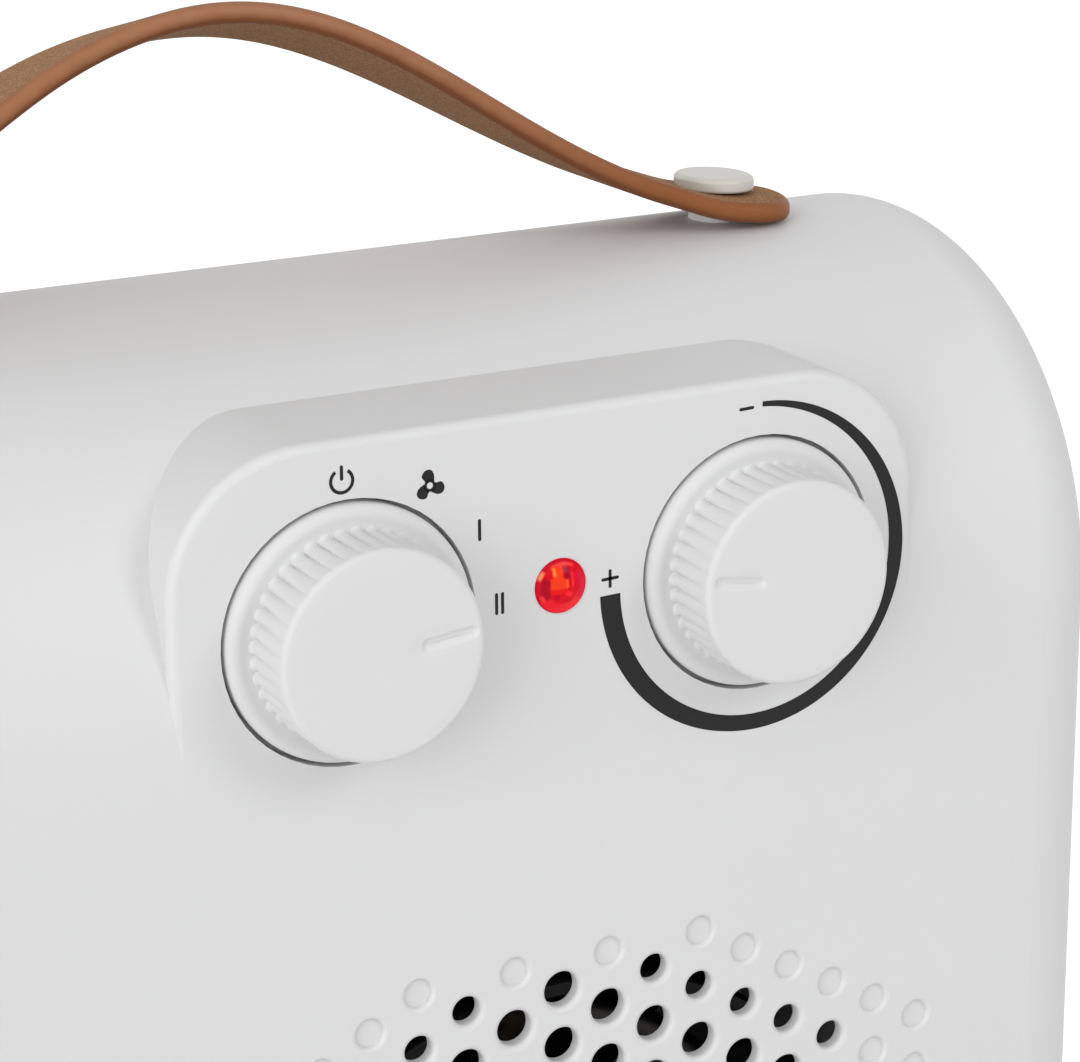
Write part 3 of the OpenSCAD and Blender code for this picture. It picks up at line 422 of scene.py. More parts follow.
def turned(flat: np.ndarray, degrees: float) -> np.ndarray:
    """Points of a plane turned anticlockwise about its middle."""
    a = math.radians(degrees)
    return flat @ np.array([[math.cos(a), math.sin(a)], [-math.sin(a), math.cos(a)]])


def raised(plane: np.ndarray, height: np.ndarray) -> np.ndarray:
    """Rows of plane points with the height of each row as their third place."""
    third = np.broadcast_to(height[:, None, None], (*plane.shape[:2], 1))
    return np.concatenate([plane, third], axis=-1)


@dataclass
class MeshParts:
    """Point and face arrays that are gathered into one mesh."""

    points: list[np.ndarray] = field(default_factory=list)
    faces: list[list[int]] = field(default_factory=list)
    count: int = 0

    def add(self, points: np.ndarray, faces: Sequence[Sequence[int]]) -> None:
        """Adds points in millimetres and the faces on them."""
        points = np.asarray(points, float).reshape(-1, 3)
        self.faces += [[int(i) + self.count for i in face] for face in faces]
        self.points.append(points)
        self.count += len(points)

    def add_rows(self, points: np.ndarray, close_rows: bool = False) -> None:
        """Adds a grid of points whose rows are closed rings."""
        rows, columns = points.shape[:2]
        self.add(points, grid_faces(rows, columns, close_rows, close_columns=True))

    def piece(self, name: str, material: bpy.types.Material, smooth_angle: float | None = None,
              attributes: dict[str, np.ndarray] | None = None) -> bpy.types.Object:
        """Makes the object at the origin, with its place in its mesh.

        Points closer than MERGE millimetres become one, and edges under SLIVER are taken out.

        Args:
            name: The object's name.
            material: Its one material.
            smooth_angle: Edges sharper than this many degrees stay sharp, or None for flat faces.
            attributes: Grids of values or of colours, by the attribute's name.

        Returns:
            The new object.
        """
        mesh = bpy.data.meshes.new(name)
        mesh.from_pydata((np.concatenate(self.points) * MM).tolist(), [], self.faces)
        for key, values in (attributes or {}).items():
            colours = values.ndim == 3
            kind, entry = ("FLOAT_COLOR", "color") if colours else ("FLOAT", "value")
            layer = mesh.attributes.new(key, kind, "POINT")
            layer.data.foreach_set(entry, values.astype(float).ravel())
        made = bmesh.new()
        made.from_mesh(mesh)
        bmesh.ops.remove_doubles(made, verts=made.verts, dist=MERGE * MM)
        bmesh.ops.dissolve_degenerate(made, edges=made.edges, dist=SLIVER * MM)
        bmesh.ops.recalc_face_normals(made, faces=made.faces)
        made.to_mesh(mesh)
        made.free()
        mesh.materials.append(material)
        if smooth_angle is None:
            mesh.shade_flat()
        else:
            mesh.shade_smooth()
            mesh.set_sharp_from_angle(angle=math.radians(smooth_angle))
        made_object = bpy.data.objects.new(name, mesh)
        bpy.context.scene.collection.objects.link(made_object)
        return made_object


@dataclass
class CasingLayout:
    """Places on the heater that the pieces share, in the object's own frame.

    Attributes:
        rivet_x: Distance of the rivets from the middle.
        knob_x: Distance of the knobs' axes from the middle of the panel.
        lens_rise: Height of the lens over those axes.
    """

    front_y: float = -51.5
    body_d: float = 115.0
    body_top: float = 260.0
    panel_x: float = 32.0
    knob_z: float = 219.0
    knob_x: float = 34.7
    lens_rise: float = 1.8
    rivet_x: float = 92.0

    @property
    def middle_y(self) -> float:
        """Depth of the middle of the body."""
        return self.front_y + self.body_d / 2

    def on_panel(self, x: np.ndarray, out: np.ndarray | float, z: np.ndarray) -> np.ndarray:
        """Points by their place across and up from between the knobs, and out of the panel."""
        places = np.broadcast_arrays(self.panel_x + x, self.front_y - out, self.knob_z + z)
        return np.stack(places, axis=-1)


@dataclass
class StrapHandle:
    """The leather strap: an arch between two flat ends with round tips.

    Attributes:
        waves: Level and two cosines of the arch, which ends waves_past beyond the rivets.
        swell: Height, place and width of a swell left of the crest.
        dent: Depth, distance inside the rivet and width of the dent under a cap's inner rim.
        cup: Sink of the rim round a rivet, how far inside the rivet it starts, the length in
            which it grows, and its reach past the rivet.
        lean: Degrees that the crest leans back by.
        lean_powers: Powers of a cosine with which the lean fades to the left and to the right.
    """

    layout: CasingLayout
    width: float = 22.0
    thickness: float = 3.4
    tip: float = 12.3
    waves: tuple[float, float, float] = (16.87, 19.28, 1.10)
    waves_past: float = 13.0
    swell: tuple[float, float, float] = (0.55, -28.0, 14.0)
    dent: tuple[float, float, float] = (0.42, 5.5, 4.5)
    cup: tuple[float, float, float, float] = (0.68, 8.0, 9.0, 16.0)
    lean: float = 14.0
    lean_powers: tuple[float, float] = (6.0, 4.0)
    boss_h: float = 1.6
    edge_r: float = 1.3
    tip_power: float = 2.5
    body_stations: int = 97
    tip_stations: int = 16
    edge_points: int = 6
    face_points: int = 11

    def build(self) -> bpy.types.Object:
        """Makes the strap in the place of the CAD one."""
        points, side = self._surface()
        parts = MeshParts()
        parts.add_rows(points)
        leather = Finish.LEATHER
        piece = parts.piece("leather_strap", leather.material, 40.0,
                            {leather.value.side: np.broadcast_to(side, points.shape[:2])})
        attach(piece, Body.CASING.value)
        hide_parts("handle_strap")
        return piece

    def _height(self, x: np.ndarray) -> np.ndarray:
        """Height of the strap's middle over the rivets."""
        turn = np.pi * x / (self.layout.rivet_x + self.waves_past)
        arch = self.waves[0] + self.waves[1] * np.cos(turn) + self.waves[2] * np.cos(2 * turn)
        swell, swell_x, swell_w = self.swell
        dent, dent_in, dent_w = self.dent
        pressed = dent * np.exp(-((np.abs(x) - self.layout.rivet_x + dent_in) / dent_w) ** 2)
        return arch + swell * np.exp(-((x - swell_x) / swell_w) ** 2) - pressed

    def _droop(self, x: np.ndarray, v: np.ndarray) -> np.ndarray:
        """How far the strap's rim sinks round a rivet, where only its middle rests on the boss."""
        depth, start, grown, reach = self.cup
        past = np.abs(x) - self.layout.rivet_x
        rise = np.clip((past + start) / grown, 0.0, 1.0)
        out = np.clip((2 * v / self.width) ** 2 + (np.clip(past, 0.0, None) / reach) ** 2, 0.0, 1.0)
        return depth * rise ** 2 * (3 - 2 * rise) * out ** 1.5

    def _stations(self) -> np.ndarray:
        """Places along the strap as shares of its half length, closer together round the tips."""
        half = self.layout.rivet_x + self.tip
        centre = half - self.width / 2
        body = np.linspace(0.0, centre, self.body_stations)
        turn = np.linspace(0, np.pi / 2, self.tip_stations + 1)[1:]
        tip = centre + (half - centre) * np.sin(turn)
        right = np.concatenate([body, tip]) / half
        return np.concatenate([-right[:0:-1], right])

    def _section(self) -> tuple[np.ndarray, np.ndarray, np.ndarray, np.ndarray]:
        """The section as a closed row: inset from the outline, share across, height and side."""
        turn = np.linspace(0, np.pi / 2, self.edge_points)
        e, t = self.edge_r, self.thickness / 2
        edge_in, edge_up = e * (1 - np.cos(turn)), t - e + e * np.sin(turn)
        end, face = np.ones(self.edge_points), np.ones(self.face_points)
        inset = np.tile(np.concatenate([edge_in, e * face, edge_in[::-1]]), 2)
        top = np.concatenate([edge_up, t * face, edge_up[::-1]])
        across = np.concatenate([end, np.linspace(1, -1, self.face_points + 2)[1:-1], -end])
        share, height = np.concatenate([across, -across]), np.concatenate([top, -top])
        level = height / (2 * t)
        side = np.where(np.isclose(level, 0.5), Side.GRAIN.value,
                        np.where(np.isclose(level, -0.5), Side.FLESH.value, level))
        return inset, share, height, side

    def _surface(self) -> tuple[np.ndarray, np.ndarray]:
        """Points of the strap, station by section place.

        Each place of the section follows the plan outline drawn in by its inset: straight
        sides that end in round tips. The plan is then laid on the arch, across and along
        its normal, both turned back by the lean. The ends are rounded by the curve
        |x|^p + |y|^p = r^p, which is fuller than a half circle.
        """
        inset, share, height, side = self._section()
        half = self.layout.rivet_x + self.tip
        centre = half - self.width / 2
        x = self._stations()[:, None] * (half - inset)[None, :]
        past = np.clip(np.abs(x) - centre, 0.0, None)
        power = self.tip_power
        radius = self.width / 2 - inset
        v = share * np.clip(radius ** power - past ** power, 0.0, None) ** (1 / power)
        step = 0.01
        slope = np.arctan2(self._height(x + step) - self._height(x - step), 2 * step)
        fade = np.cos(np.pi * x / (2 * half)) ** np.where(x < 0, *self.lean_powers)
        lean = np.radians(self.lean) * fade
        normal = np.stack([-np.sin(slope), np.zeros_like(x), np.cos(slope)], axis=-1)
        across = np.array([0.0, 1.0, 0.0])
        sin, cos = np.sin(lean)[..., None], np.cos(lean)[..., None]
        base = self.layout.body_top + self.boss_h + self.thickness / 2
        middle = np.stack([x, np.full_like(x, self.layout.middle_y),
                           base + self._height(x) - self._droop(x, v)], axis=-1)
        out = v[..., None] * (across * cos - normal * sin)
        up = np.broadcast_to(height, x.shape)[..., None] * (normal * cos + across * sin)
        return middle + out + up, side


@dataclass
class RivetPair:
    """The strap's two rivets: soft-shouldered caps on round shanks, tilted slightly outwards."""

    layout: CasingLayout
    base: float = 5.05
    cap_r: float = 6.75
    cap_t: float = 2.5
    shank_r: float = 2.5
    shank_end: float = -15.5
    chamfer: float = 0.3
    under_r: float = 0.5
    shoulder: tuple[float, float] = (1.15, 0.95)
    crown: float = 0.05
    tilt: float = 0.055

    def build(self) -> bpy.types.Object:
        """Makes both rivets in the place of the CAD ones."""
        parts = MeshParts()
        for side in (-1, 1):
            parts.add_rows(self._surface(side))
        piece = parts.piece("capped_rivets", Finish.RIVET.material, 50.0)
        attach(piece, Body.CASING.value)
        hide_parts("strap_rivets")
        return piece

    def _surface(self, side: int) -> np.ndarray:
        """Points of the left (-1) or right (1) rivet, ring by angle, from the shank to the cap."""
        turn = np.linspace(0, np.pi / 2, 9)
        wide, high = self.shoulder
        top = np.linspace(self.cap_r - wide, 0.0, 7)
        radius = np.concatenate([[0.0, self.shank_r - self.chamfer, self.shank_r, self.shank_r],
                                 self.cap_r - self.under_r * (1 - np.sin(turn)),
                                 self.cap_r - wide * (1 - np.cos(turn)), top[1:]])
        end = self.shank_end
        height = np.concatenate([[end, end, end + self.chamfer, 0.0],
                                 self.under_r * (1 - np.cos(turn)),
                                 self.cap_t - self.crown - high * (1 - np.sin(turn)),
                                 self.cap_t - self.crown * (top[1:] / top[0]) ** 2])
        angle = around(96)
        x, y = radius[:, None] * np.cos(angle), radius[:, None] * np.sin(angle)
        z = self.layout.body_top + self.base + height[:, None] - side * self.tilt * x
        return np.stack([side * self.layout.rivet_x + x, self.layout.middle_y + y, z], axis=-1)


@dataclass
class RibbedKnob:
    """A control knob: a dished flange, a grip whose grooves fade out, and a soft pointer slot.

    Its surface is one grid of closed rows, from the middle of the slot out over the face and
    down the grip to the flange and its hollow back. Radii and angles are about the knob's
    axis, and heights are measured outward from the panel's face.

    Attributes:
        grooves: Depth of the grooves at the grip's foot, halfway up and at its top.
        groove_power: Power of the place across a rib with which a groove deepens.
        rim: Radius of the flange's rounding.
        dish: Height of the flange where the grip's foot meets it.
        flare: How far the grip's foot spreads, over a height of flare_h.
        slot: Nearest and farthest radius of the pointer's slot.
    """

    layout: CasingLayout
    side: int
    body: Body
    node: str
    pointer: float
    height: float = 12.0
    grip_r: float = 16.2
    edge_r: float = 1.0
    ribs: int = 40
    samples: int = 12
    grooves: tuple[float, float, float] = (0.95, 0.5, 0.12)
    groove_power: float = 2.6
    flange_r: float = 19.8
    flange_top: float = 1.35
    rim: float = 1.5
    dish: float = 1.12
    flare: float = 0.4
    flare_h: float = 0.9
    back: float = -3.2
    wall: float = 2.5
    web: float = 5.0
    hub_r: float = 5.5
    bore_r: float = 3.1
    bore_top: float = 6.8
    pole_r: float = 0.05
    slot: tuple[float, float] = (6.0, 14.9)
    slot_w: float = 1.9
    slot_deep: float = 0.44

    def build(self) -> bpy.types.Object:
        """Makes the knob in the place of the CAD one."""
        parts = MeshParts()
        parts.add_rows(self._surface())
        piece = parts.piece(f"ribbed_{self.node}", Finish.KNOB.material, 38.0)
        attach(piece, self.body.value)
        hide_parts(self.node)
        return piece

    def _slot_reach(self, turn: np.ndarray, half: np.ndarray) -> np.ndarray:
        """Distance from the slot's middle to a slot outline of a given half width.

        Args:
            turn: Directions from the slot's middle, in radians.
            half: Half widths of the outlines, one a row.

        Returns:
            An array of rows by directions.
        """
        reach = (self.slot[1] - self.slot[0] - self.slot_w) / 2
        cos, sin = np.abs(np.cos(turn))[None, :], np.abs(np.sin(turn))[None, :]
        half = half[:, None]
        straight = half / np.maximum(sin, 1e-9)
        round_end = reach * cos + np.sqrt(np.clip(half ** 2 - (reach * sin) ** 2, 0.0, None))
        return np.where(straight * cos <= reach, straight, round_end)

    def _face(self, ring: np.ndarray) -> np.ndarray:
        """Rows from the slot's middle to the edge of the flat face, in the knob's own axes."""
        middle = np.array([sum(self.slot) / 2, 0.0])
        spoke = (self.grip_r - self.edge_r) * ring - middle
        turn = np.arctan2(spoke[:, 1], spoke[:, 0])
        half = self.slot_w / 2 * np.array([0.02, 0.25, 0.5, 0.7, 0.88, 1.03, 1.16, 1.28])
        drop = self.slot_deep * np.array([1.0, 0.96, 0.84, 0.65, 0.4, 0.2, 0.06, 0.0])
        slot = self._slot_reach(turn, half)
        share = np.linspace(0.0, 1.0, 7)[1:, None]
        flat = slot[-1] + share * (np.linalg.norm(spoke, axis=1) - slot[-1])
        reach = np.concatenate([slot, flat])
        height = self.height - np.concatenate([drop, np.zeros(len(share))])
        return raised(middle + reach[..., None] * unit(turn), height)

    def _outside(self, ring: np.ndarray, across: np.ndarray) -> np.ndarray:
        """Rows from the face's round edge down the grip and over the flange to its back.

        The grip's foot flares with the square of its nearness to the flange, whose dish rises
        to the rim as half a cosine.

        Args:
            ring: Directions as unit vectors, one a column.
            across: Place across a rib, from -1 to 1, one a column.

        Returns:
            Points of rows by columns.
        """
        turn = np.linspace(0, np.pi / 2, 7)[1:]
        top = self.height - self.edge_r
        depth = self.dish + (top - self.dish) * (1 - np.linspace(0, 1, 17)[1:]) ** 1.6
        foot = self.flare * np.clip(1 - (depth - self.dish) / self.flare_h, 0.0, 1.0) ** 2
        height = np.concatenate([top + self.edge_r * np.cos(turn), depth])
        crest = np.concatenate([self.grip_r - self.edge_r * (1 - np.sin(turn)), self.grip_r + foot])
        groove = np.interp(height, [self.dish, (self.dish + top) / 2, top, (top + self.height) / 2],
                           [*self.grooves, 0.0])
        radius = crest[:, None] - groove[:, None] * np.abs(across)[None, :] ** self.groove_power
        share = np.linspace(0, 1, 9)[1:]
        inner, outer = self.grip_r + self.flare + self.pole_r, self.flange_r - self.rim
        ease = (1 - np.cos(np.pi * share)) / 2
        flange_r = np.concatenate([[inner], inner + share * (outer - inner),
                                   outer + self.rim * np.sin(turn), [self.flange_r]])
        flange_h = np.concatenate([[self.dish], self.dish + ease * (self.flange_top - self.dish),
                                   self.flange_top - self.rim * (1 - np.cos(turn)), [self.back]])
        inside, roof = self.grip_r - self.wall, self.height - self.web
        hollow_r = [inside, inside, self.hub_r, self.hub_r, self.bore_r, self.bore_r, self.pole_r]
        hollow_h = [self.back, roof, roof, self.back, self.back, self.bore_top, self.bore_top]
        plain_r = np.concatenate([flange_r, hollow_r])[:, None] * np.ones(len(ring))
        radius = np.concatenate([radius, plain_r])
        return raised(radius[..., None] * ring, np.concatenate([height, flange_h, hollow_h]))

    def _surface(self) -> np.ndarray:
        """All the rows, turned to the pointer's way and set on the panel."""
        angle = around(self.ribs * self.samples)
        across = 2 * ((angle / (2 * np.pi) * self.ribs + 0.5) % 1.0) - 1
        ring = unit(angle)
        rows = np.concatenate([self._face(ring), self._outside(ring, across)])
        plane = turned(rows[..., :2], self.pointer)
        axis = self.side * self.layout.knob_x
        return self.layout.on_panel(axis + plane[..., 0], rows[..., 2], plane[..., 1])


@dataclass(frozen=True)
class Bar:
    """A straight stroke of a sign, measured from the axis of the left (-1) or right (1) knob."""

    side: int
    middle: tuple[float, float]
    length: float
    turn: float


@dataclass
class PanelSigns:
    """The printed signs of the control panel, as thin films on its face.

    Places are measured from the knobs' axes, and angles are in degrees.

    Attributes:
        bars: The strokes of minus, plus, power, one and two.
        sweep_at: Middle of the scale round the right knob.
        sweep_r: Radius of the scale's middle line.
        sweep_turn: Angles at which the scale's widths are given.
        sweep_w: Those widths.
        blade: Radius, first and last angle of a blade's rows.
    """

    layout: CasingLayout
    film: float = 0.03
    stroke: float = 0.52
    bars: tuple[Bar, ...] = (
        Bar(1, (-2.42, 25.02), 2.65, 2),
        Bar(1, (-26.2, 1.58), 3.05, 2),
        Bar(1, (-26.2, 1.58), 3.0, 90),
        Bar(-1, (-0.8, 24.56), 2.3, 90),
        Bar(-1, (21.26, 12.6), 3.42, 90),
        Bar(-1, (23.92, 0.65), 3.45, 90),
        Bar(-1, (24.92, 0.65), 3.45, 90),
    )
    sweep_at: tuple[float, float] = (-0.5, -0.3)
    sweep_r: float = 25.7
    sweep_turn: tuple[float, ...] = (-178.4, -160, -102, -50, 0, 40, 70, 88)
    sweep_w: tuple[float, ...] = (3.5, 3.3, 2.65, 2.6, 2.6, 1.9, 1.25, 0.8)
    power_at: tuple[float, float] = (-0.8, 23.34)
    power_r: float = 2.0
    power_gap: float = 34.0
    fan_at: tuple[float, float] = (13.25, 20.62)
    fan_hub: tuple[float, float] = (0.50, 0.93)
    blade: tuple[tuple[float, float, float], ...] = (
        (0.8, 38.0, 150.0), (1.0, 44.0, 141.0), (1.2, 53.0, 136.0), (1.5, 60.5, 135.3),
        (1.8, 68.0, 134.0), (2.0, 73.0, 129.5), (2.2, 79.0, 122.0), (2.35, 84.5, 114.5),
        (2.44, 90.0, 107.0), (2.48, 96.0, 100.0))

    def build(self) -> bpy.types.Object:
        """Makes all the signs as one piece."""
        parts = MeshParts()
        axis = {side: np.array([side * self.layout.knob_x, 0.0]) for side in (-1, 1)}
        self._sweep(parts, axis[1] + self.sweep_at)
        self._power(parts, axis[-1] + self.power_at)
        self._fan(parts, axis[-1] + self.fan_at)
        for bar in self.bars:
            self._bar(parts, axis[bar.side], bar)
        piece = parts.piece("panel_signs", Finish.INK.material)
        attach(piece, Body.CASING.value)
        return piece

    def _film(self, parts: MeshParts, flat: np.ndarray, faces: Sequence[Sequence[int]]) -> None:
        """Lays flat points, measured from between the knobs, just in front of the panel."""
        parts.add(self.layout.on_panel(flat[..., 0], self.film, flat[..., 1]), faces)

    def _band(self, parts: MeshParts, centre: np.ndarray, inner: np.ndarray | float,
              outer: np.ndarray | float, angle: np.ndarray) -> None:
        """A band round a centre, its inner and outer radius given for each angle in radians."""
        edges = [centre + np.broadcast_to(r, angle.shape)[:, None] * unit(angle)
                 for r in (inner, outer)]
        self._film(parts, np.stack(edges, axis=1), grid_faces(len(angle), 2))

    def _bar(self, parts: MeshParts, axis: np.ndarray, bar: Bar) -> None:
        """A stroke with round ends."""
        r = self.stroke / 2
        turn = np.linspace(-np.pi / 2, np.pi / 2, 9)
        end = np.column_stack([bar.length / 2 - r + r * np.cos(turn), r * np.sin(turn)])
        outline = turned(np.concatenate([end, -end]), bar.turn)
        self._film(parts, axis + bar.middle + outline, [range(len(outline))])

    def _sweep(self, parts: MeshParts, centre: np.ndarray) -> None:
        """The scale round the right knob, which widens from the least to the most heat."""
        degrees = np.linspace(self.sweep_turn[-1], self.sweep_turn[0], 161)
        half = np.interp(degrees, self.sweep_turn, self.sweep_w) / 2
        self._band(parts, centre, self.sweep_r - half, self.sweep_r + half, np.radians(degrees))

    def _power(self, parts: MeshParts, centre: np.ndarray) -> None:
        """The power sign's ring, which is open at the top."""
        angle = np.radians(np.linspace(90 + self.power_gap, 450 - self.power_gap, 49))
        self._band(parts, centre, self.power_r - self.stroke, self.power_r, angle)

    def _fan(self, parts: MeshParts, centre: np.ndarray) -> None:
        """Three swept blades round a small ring, each between two curves of angle by radius."""
        self._band(parts, centre, *self.fan_hub, np.linspace(0, 2 * np.pi, 25))
        radius, start, stop = np.array(self.blade).T
        for turn in (0, 120, 240):
            angle = np.radians(np.linspace(start, stop, 7, axis=1) + turn)
            rows = centre + radius[:, None, None] * unit(angle)
            self._film(parts, rows, grid_faces(len(radius), 7))


@dataclass(frozen=True)
class Facet:
    """A soft-edged patch of the lens: its middle, half sizes, turn and light.

    Lengths are shares of the lens's radius, and the turn is in degrees.
    """

    middle: tuple[float, float]
    half: tuple[float, float]
    turn: float
    light: tuple[float, float, float]

    def cover(self, u: np.ndarray, v: np.ndarray, soft: float) -> np.ndarray:
        """Share of the patch's light at each place, over edges that are soft wide."""
        place = turned(np.stack([u, v], axis=-1) - self.middle, -self.turn)
        return np.clip((self.half - np.abs(place)) / soft + 0.5, 0, 1).prod(axis=-1)


@dataclass(frozen=True)
class FacetArc:
    """A soft-edged arc of a ring of the lens, from one angle to another in degrees."""

    radius: tuple[float, float]
    angle: tuple[float, float]
    light: tuple[float, float, float]

    def cover(self, u: np.ndarray, v: np.ndarray, soft: float) -> np.ndarray:
        """Share of the arc's light at each place, over edges that are soft wide."""
        r = np.hypot(u, v)
        middle, half = (self.angle[0] + self.angle[1]) / 2, (self.angle[1] - self.angle[0]) / 2
        turn = (np.degrees(np.arctan2(v, u)) - middle + 180.0) % 360.0 - 180.0
        inside = np.clip((np.minimum(r - self.radius[0], self.radius[1] - r)) / soft + 0.5, 0, 1)
        return inside * np.clip((half - np.abs(turn)) * np.pi / 180 * r / (2 * soft) + 0.5, 0, 1)


@dataclass
class Indicator:
    """The red indicator: a low dome whose facets are lit from behind, with painted highlights near
    its rim.
    """

    layout: CasingLayout
    diameter: float = 8.6
    dome_h: float = 1.6
    wall: float = 2.5
    flange: float = 1.5
    flange_out: float = 1.2
    soft: float = 0.07
    body_light: tuple[float, float, float] = (0.62, 0.001, 0.010)
    facets: tuple[Facet | FacetArc, ...] = (
        FacetArc((0.90, 1.10), (0, 360), (0.50, 0.000, 0.016)),
        FacetArc((0.60, 0.88), (-40, 42), (0.62, 0.004, 0.036)),
        FacetArc((0.60, 0.96), (212, 322), (0.76, 0.010, 0.018)),
        FacetArc((0.56, 0.84), (150, 212), (0.33, 0.000, 0.012)),
        # The next three thin bright arcs near the rim are painted highlights, where light catches
        # the dome's edge.
        FacetArc((0.80, 0.88), (60, 120), (0.95, 0.060, 0.060)),
        FacetArc((0.87, 0.98), (140, 158), (0.95, 0.300, 0.120)),
        FacetArc((0.78, 0.90), (198, 214), (0.95, 0.040, 0.040)),
        Facet((-0.22, 0.56), (0.17, 0.22), -4, (0.95, 0.050, 0.004)),
        Facet((-0.34, 0.58), (0.05, 0.14), 0, (0.95, 0.260, 0.040)),
        Facet((-0.20, 0.17), (0.31, 0.20), 0, (0.84, 0.045, 0.006)),
        Facet((0.10, 0.16), (0.035, 0.14), 0, (0.95, 0.130, 0.030)),
        Facet((-0.22, -0.10), (0.28, 0.09), 0, (0.74, 0.008, 0.008)),
        Facet((0.12, 0.53), (0.11, 0.19), 0, (0.28, 0.000, 0.018)),
        Facet((0.33, 0.27), (0.05, 0.26), 0, (0.90, 0.020, 0.026)),
        Facet((0.17, -0.22), (0.13, 0.08), -30, (0.92, 0.018, 0.022)),
        Facet((-0.28, -0.32), (0.11, 0.10), 0, (0.46, 0.000, 0.014)),
        Facet((0.13, -0.48), (0.13, 0.05), 0, (0.48, 0.000, 0.006)),
    )

    def build(self) -> bpy.types.Object:
        """Makes the lens in the place of the CAD one."""
        points, glow = self._surface()
        parts = MeshParts()
        parts.add_rows(points)
        lens = Finish.LENS
        piece = parts.piece("indicator_dome", lens.material, 50.0, {lens.value.glow: glow})
        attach(piece, Body.CASING.value)
        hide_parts("indicator_lens")
        return piece

    def _surface(self) -> tuple[np.ndarray, np.ndarray]:
        """Points and glow of the lens, ring by angle.

        The dome is a spherical cap, height = dome_h * (1 - (r / R)^2). Behind it the rings
        run back along the wall, out to the flange and in to its back face.
        """
        big = self.diameter / 2
        wide, back = big + self.flange_out, self.wall + self.flange
        share = np.linspace(0.0, 1.0, 49)
        radius = np.concatenate([share * big, [big, wide, wide, 0.0]])
        depth = np.concatenate([-self.dome_h * (1 - share ** 2),
                                [self.wall, self.wall, back, back]])
        angle = around(180)
        u, v = radius[:, None] * np.cos(angle), radius[:, None] * np.sin(angle)
        glow = self._glow_with_highlights(u / big, v / big)
        glow[len(share):] = 0.0
        return self.layout.on_panel(u, -depth[:, None], self.layout.lens_rise + v), glow

    def _glow_with_highlights(self, u: np.ndarray, v: np.ndarray) -> np.ndarray:
        """Light from the facets and the painted rim highlights, each laid over those before it."""
        light = np.broadcast_to(np.array(self.body_light), (*u.shape, 3)).copy()
        for facet in self.facets:
            cover = facet.cover(u, v, self.soft)[..., None]
            light = light * (1 - cover) + np.array(facet.light) * cover
        return np.concatenate([light, np.ones((*u.shape, 1))], axis=-1)


@dataclass
class LensSeat:
    """The thin ring that holds the lens in its hole, just under the panel's face.

    Its profile is a closed row of radii and of depths under the face.
    """

    layout: CasingLayout
    profile: tuple[tuple[float, float], ...] = (
        (4.32, 2.4), (4.32, 0.10), (4.37, 0.04), (4.50, 0.04), (4.54, 0.08), (4.54, 2.4))

    def build(self) -> bpy.types.Object:
        """Makes the ring."""
        radius, depth = np.array(self.profile).T[..., None]
        angle = around(120)
        x, z = radius * np.cos(angle), self.layout.lens_rise + radius * np.sin(angle)
        parts = MeshParts()
        parts.add_rows(self.layout.on_panel(x, -depth, z), close_rows=True)
        piece = parts.piece("lens_seat", Finish.HOUSING.material, 30.0)
        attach(piece, Body.CASING.value)
        return piece


@dataclass
class CadDress:
    """Gives every CAD node that stays its finish."""

    groups: tuple[tuple[Finish, tuple[str, ...]], ...] = (
        (Finish.HOUSING, ("front_housing", "rear_housing")),
        (Finish.RIVET, ("tip_switch_plunger",)),
        (Finish.DARK, ("rotary_switch", "lamp_holder", "air_duct", "fan_impeller",
                       "tip_switch_body", "cord_gland", "cord_clamp")),
        (Finish.RUBBER, ("rubber_feet",)),
        (Finish.CERAMIC, ("thermostat_body", "thermal_fuse", "terminal_block")),
        (Finish.MICA, ("heater_frame",)),
        (Finish.WIRE, ("heating_coils",)),
        (Finish.LAMP_GLASS, ("neon_lamp",)),
        (Finish.COPPER, ("motor_coil",)),
        (Finish.BRONZE, ("motor_bearings",)),
        (Finish.LAMINATION, ("motor_rotor", "motor_stator")),
    )

    def apply(self, nodes: dict[str, bpy.types.Object]) -> None:
        """Assigns the finishes to the CAD objects by name; what isn't listed is plated steel."""
        finish = {name: kind for kind, names in self.groups for name in names}
        for name, node in nodes.items():
            material = finish.get(name, Finish.STEEL).material
            if not node.data.materials:
                node.data.materials.append(material)
            for index in range(len(node.data.materials)):
                node.data.materials[index] = material


def stand(name: str, data: bpy.types.ID, place: Sequence[float],
          axes: Sequence) -> bpy.types.Object:
    """A lamp or camera at a place, its axes to the right, up and back."""
    matrix = np.eye(4)
    matrix[:3, :3] = np.column_stack(axes)
    matrix[:3, 3] = place
    made = bpy.data.objects.new(name, data)
    made.matrix_world = Matrix(matrix)
    bpy.context.scene.collection.objects.link(made)
    return made


@dataclass(frozen=True)
class Softbox:
    """A rectangular area light that looks at a point, places in metres and power in watts."""

    name: str
    place: tuple[float, float, float]
    aim: tuple[float, float, float]
    size: tuple[float, float]
    power: float

    def build(self) -> None:
        """Makes the light."""
        data = bpy.data.lights.new(self.name, "AREA")
        data.shape, data.energy = "RECTANGLE", self.power
        data.size, data.size_y = self.size
        ahead = np.subtract(self.aim, self.place)
        ahead = ahead / np.linalg.norm(ahead)
        right = np.cross(ahead, [0.0, 0.001, 1.0])
        right /= np.linalg.norm(right)
        stand(self.name, data, self.place, (right, np.cross(right, ahead), -ahead))


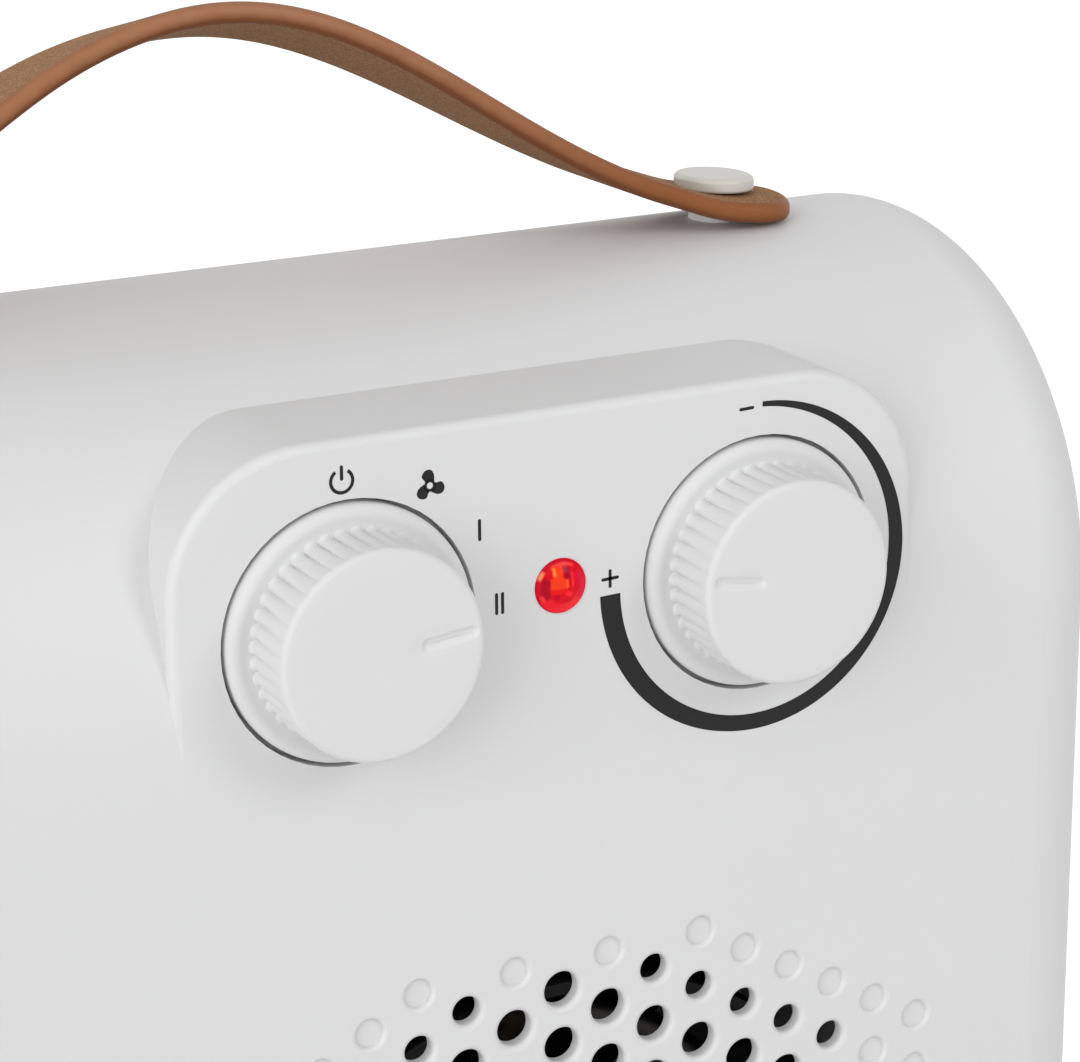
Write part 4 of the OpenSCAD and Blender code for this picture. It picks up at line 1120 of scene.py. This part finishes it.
@dataclass
class Studio:
    """Floor, light and camera: metres and degrees, with the lens and sensor in millimetres."""

    floor_half: float = 6.0
    floor_colour: float = 0.80
    floor_lift: float = 0.55
    sky: float = 0.53
    lamps: tuple[Softbox, ...] = (
        Softbox("key", (1.3, -1.9, 1.5), (0.0, 0.0, 0.15), (0.9, 0.9), 13.6),
        Softbox("fill", (-2.3, -1.3, 0.9), (0.0, 0.0, 0.15), (2.0, 2.0), 33.5),
        Softbox("top", (-0.9, -1.7, 1.9), (0.0, 0.0, 0.20), (2.0, 2.0), 8.5),
        Softbox("back", (-1.2, 2.4, 1.2), (0.0, 0.0, 0.25), (1.8, 1.8), 12.0),
    )
    camera_place: tuple[float, float, float] = (-0.2012, -0.4926, 0.3857)
    yaw: float = 27.52
    pitch: float = 17.39
    roll: float = -0.48
    lens: float = 116.6
    sensor: float = 36.0
    clip: tuple[float, float] = (0.01, 50.0)

    def build(self) -> None:
        """Makes the whole studio."""
        self._camera()
        self._floor()
        self._world()
        for lamp in self.lamps:
            lamp.build()
        bpy.context.scene.view_settings.view_transform = "Standard"

    def _camera(self) -> None:
        """The camera at the photograph's viewing angle."""
        data = bpy.data.cameras.new("camera")
        data.sensor_fit, data.sensor_width, data.lens = "HORIZONTAL", self.sensor, self.lens
        data.clip_start, data.clip_end = self.clip
        yaw, pitch, roll = (math.radians(a) for a in (self.yaw, self.pitch, self.roll))
        level = math.cos(pitch)
        ahead = np.array([math.sin(yaw) * level, math.cos(yaw) * level, -math.sin(pitch)])
        right = np.array([math.cos(yaw), -math.sin(yaw), 0.0])
        up = np.cross(right, ahead)
        rolled = (math.cos(roll) * right + math.sin(roll) * up,
                  math.cos(roll) * up - math.sin(roll) * right, -ahead)
        bpy.context.scene.camera = stand("camera", data, self.camera_place, rolled)

    @staticmethod
    def _seen(graph: Graph) -> Wire:
        """One for rays that see the studio, straight or in gloss or glass."""
        path = [graph.node("ShaderNodeLightPath", output=name)
                for name in ("Is Camera Ray", "Is Glossy Ray", "Is Transmission Ray")]
        return graph.node("ShaderNodeMath", {"operation": "ADD", "use_clamp": True},
                          {0: path[0] + path[1], 1: path[2]})

    def _floor(self) -> None:
        """A pale floor that reads as white and keeps the shadow."""
        material, graph = new_material("studio_floor")
        plain = graph.node("ShaderNodeBsdfDiffuse", {}, {"Color": rgba([self.floor_colour] * 3)})
        lift = graph.node("ShaderNodeEmission", {}, {"Color": WHITE, "Strength": self.floor_lift})
        lifted = graph.node("ShaderNodeAddShader", {}, {0: plain, 1: lift})
        both = graph.node("ShaderNodeMixShader", {}, {0: self._seen(graph), 1: plain, 2: lifted})
        graph.node("ShaderNodeOutputMaterial", {}, {"Surface": both})
        parts = MeshParts()
        h = self.floor_half / MM
        parts.add(np.array([[-h, -h, 0], [h, -h, 0], [h, h, 0], [-h, h, 0]]), [[0, 1, 2, 3]])
        floor = parts.piece("studio_floor", material)

    def _world(self) -> None:
        """Even light all round, white where it is seen."""
        world = bpy.data.worlds.new("studio")
        world.use_nodes = True
        bpy.context.scene.world = world
        graph = Graph(world.node_tree)
        seen = self._seen(graph)
        strength = self.sky + seen * (1.0 - self.sky)
        light = graph.node("ShaderNodeBackground", {}, {"Color": WHITE, "Strength": strength})
        graph.node("ShaderNodeOutputWorld", {}, {"Surface": light})


def main() -> None:
    """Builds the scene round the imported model."""
    logging.basicConfig(level=logging.INFO, format="%(name)s: %(message)s")
    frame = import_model()
    Studio().build()
    layout = CasingLayout()
    CadDress().apply(frame["nodes"])
    assemblies = (
        StrapHandle(layout),
        RivetPair(layout),
        PanelSigns(layout),
        Indicator(layout),
        LensSeat(layout),
        RibbedKnob(layout, -1, Body.SWITCH, "switch_knob", pointer=6.0),
        RibbedKnob(layout, 1, Body.THERMOSTAT, "thermostat_knob", pointer=171.0),
    )
    for assembly in assemblies:
        piece = assembly.build()
        LOG.info("%s: %d faces", piece.name, len(piece.data.polygons))


if __name__ == "__main__":
    main()
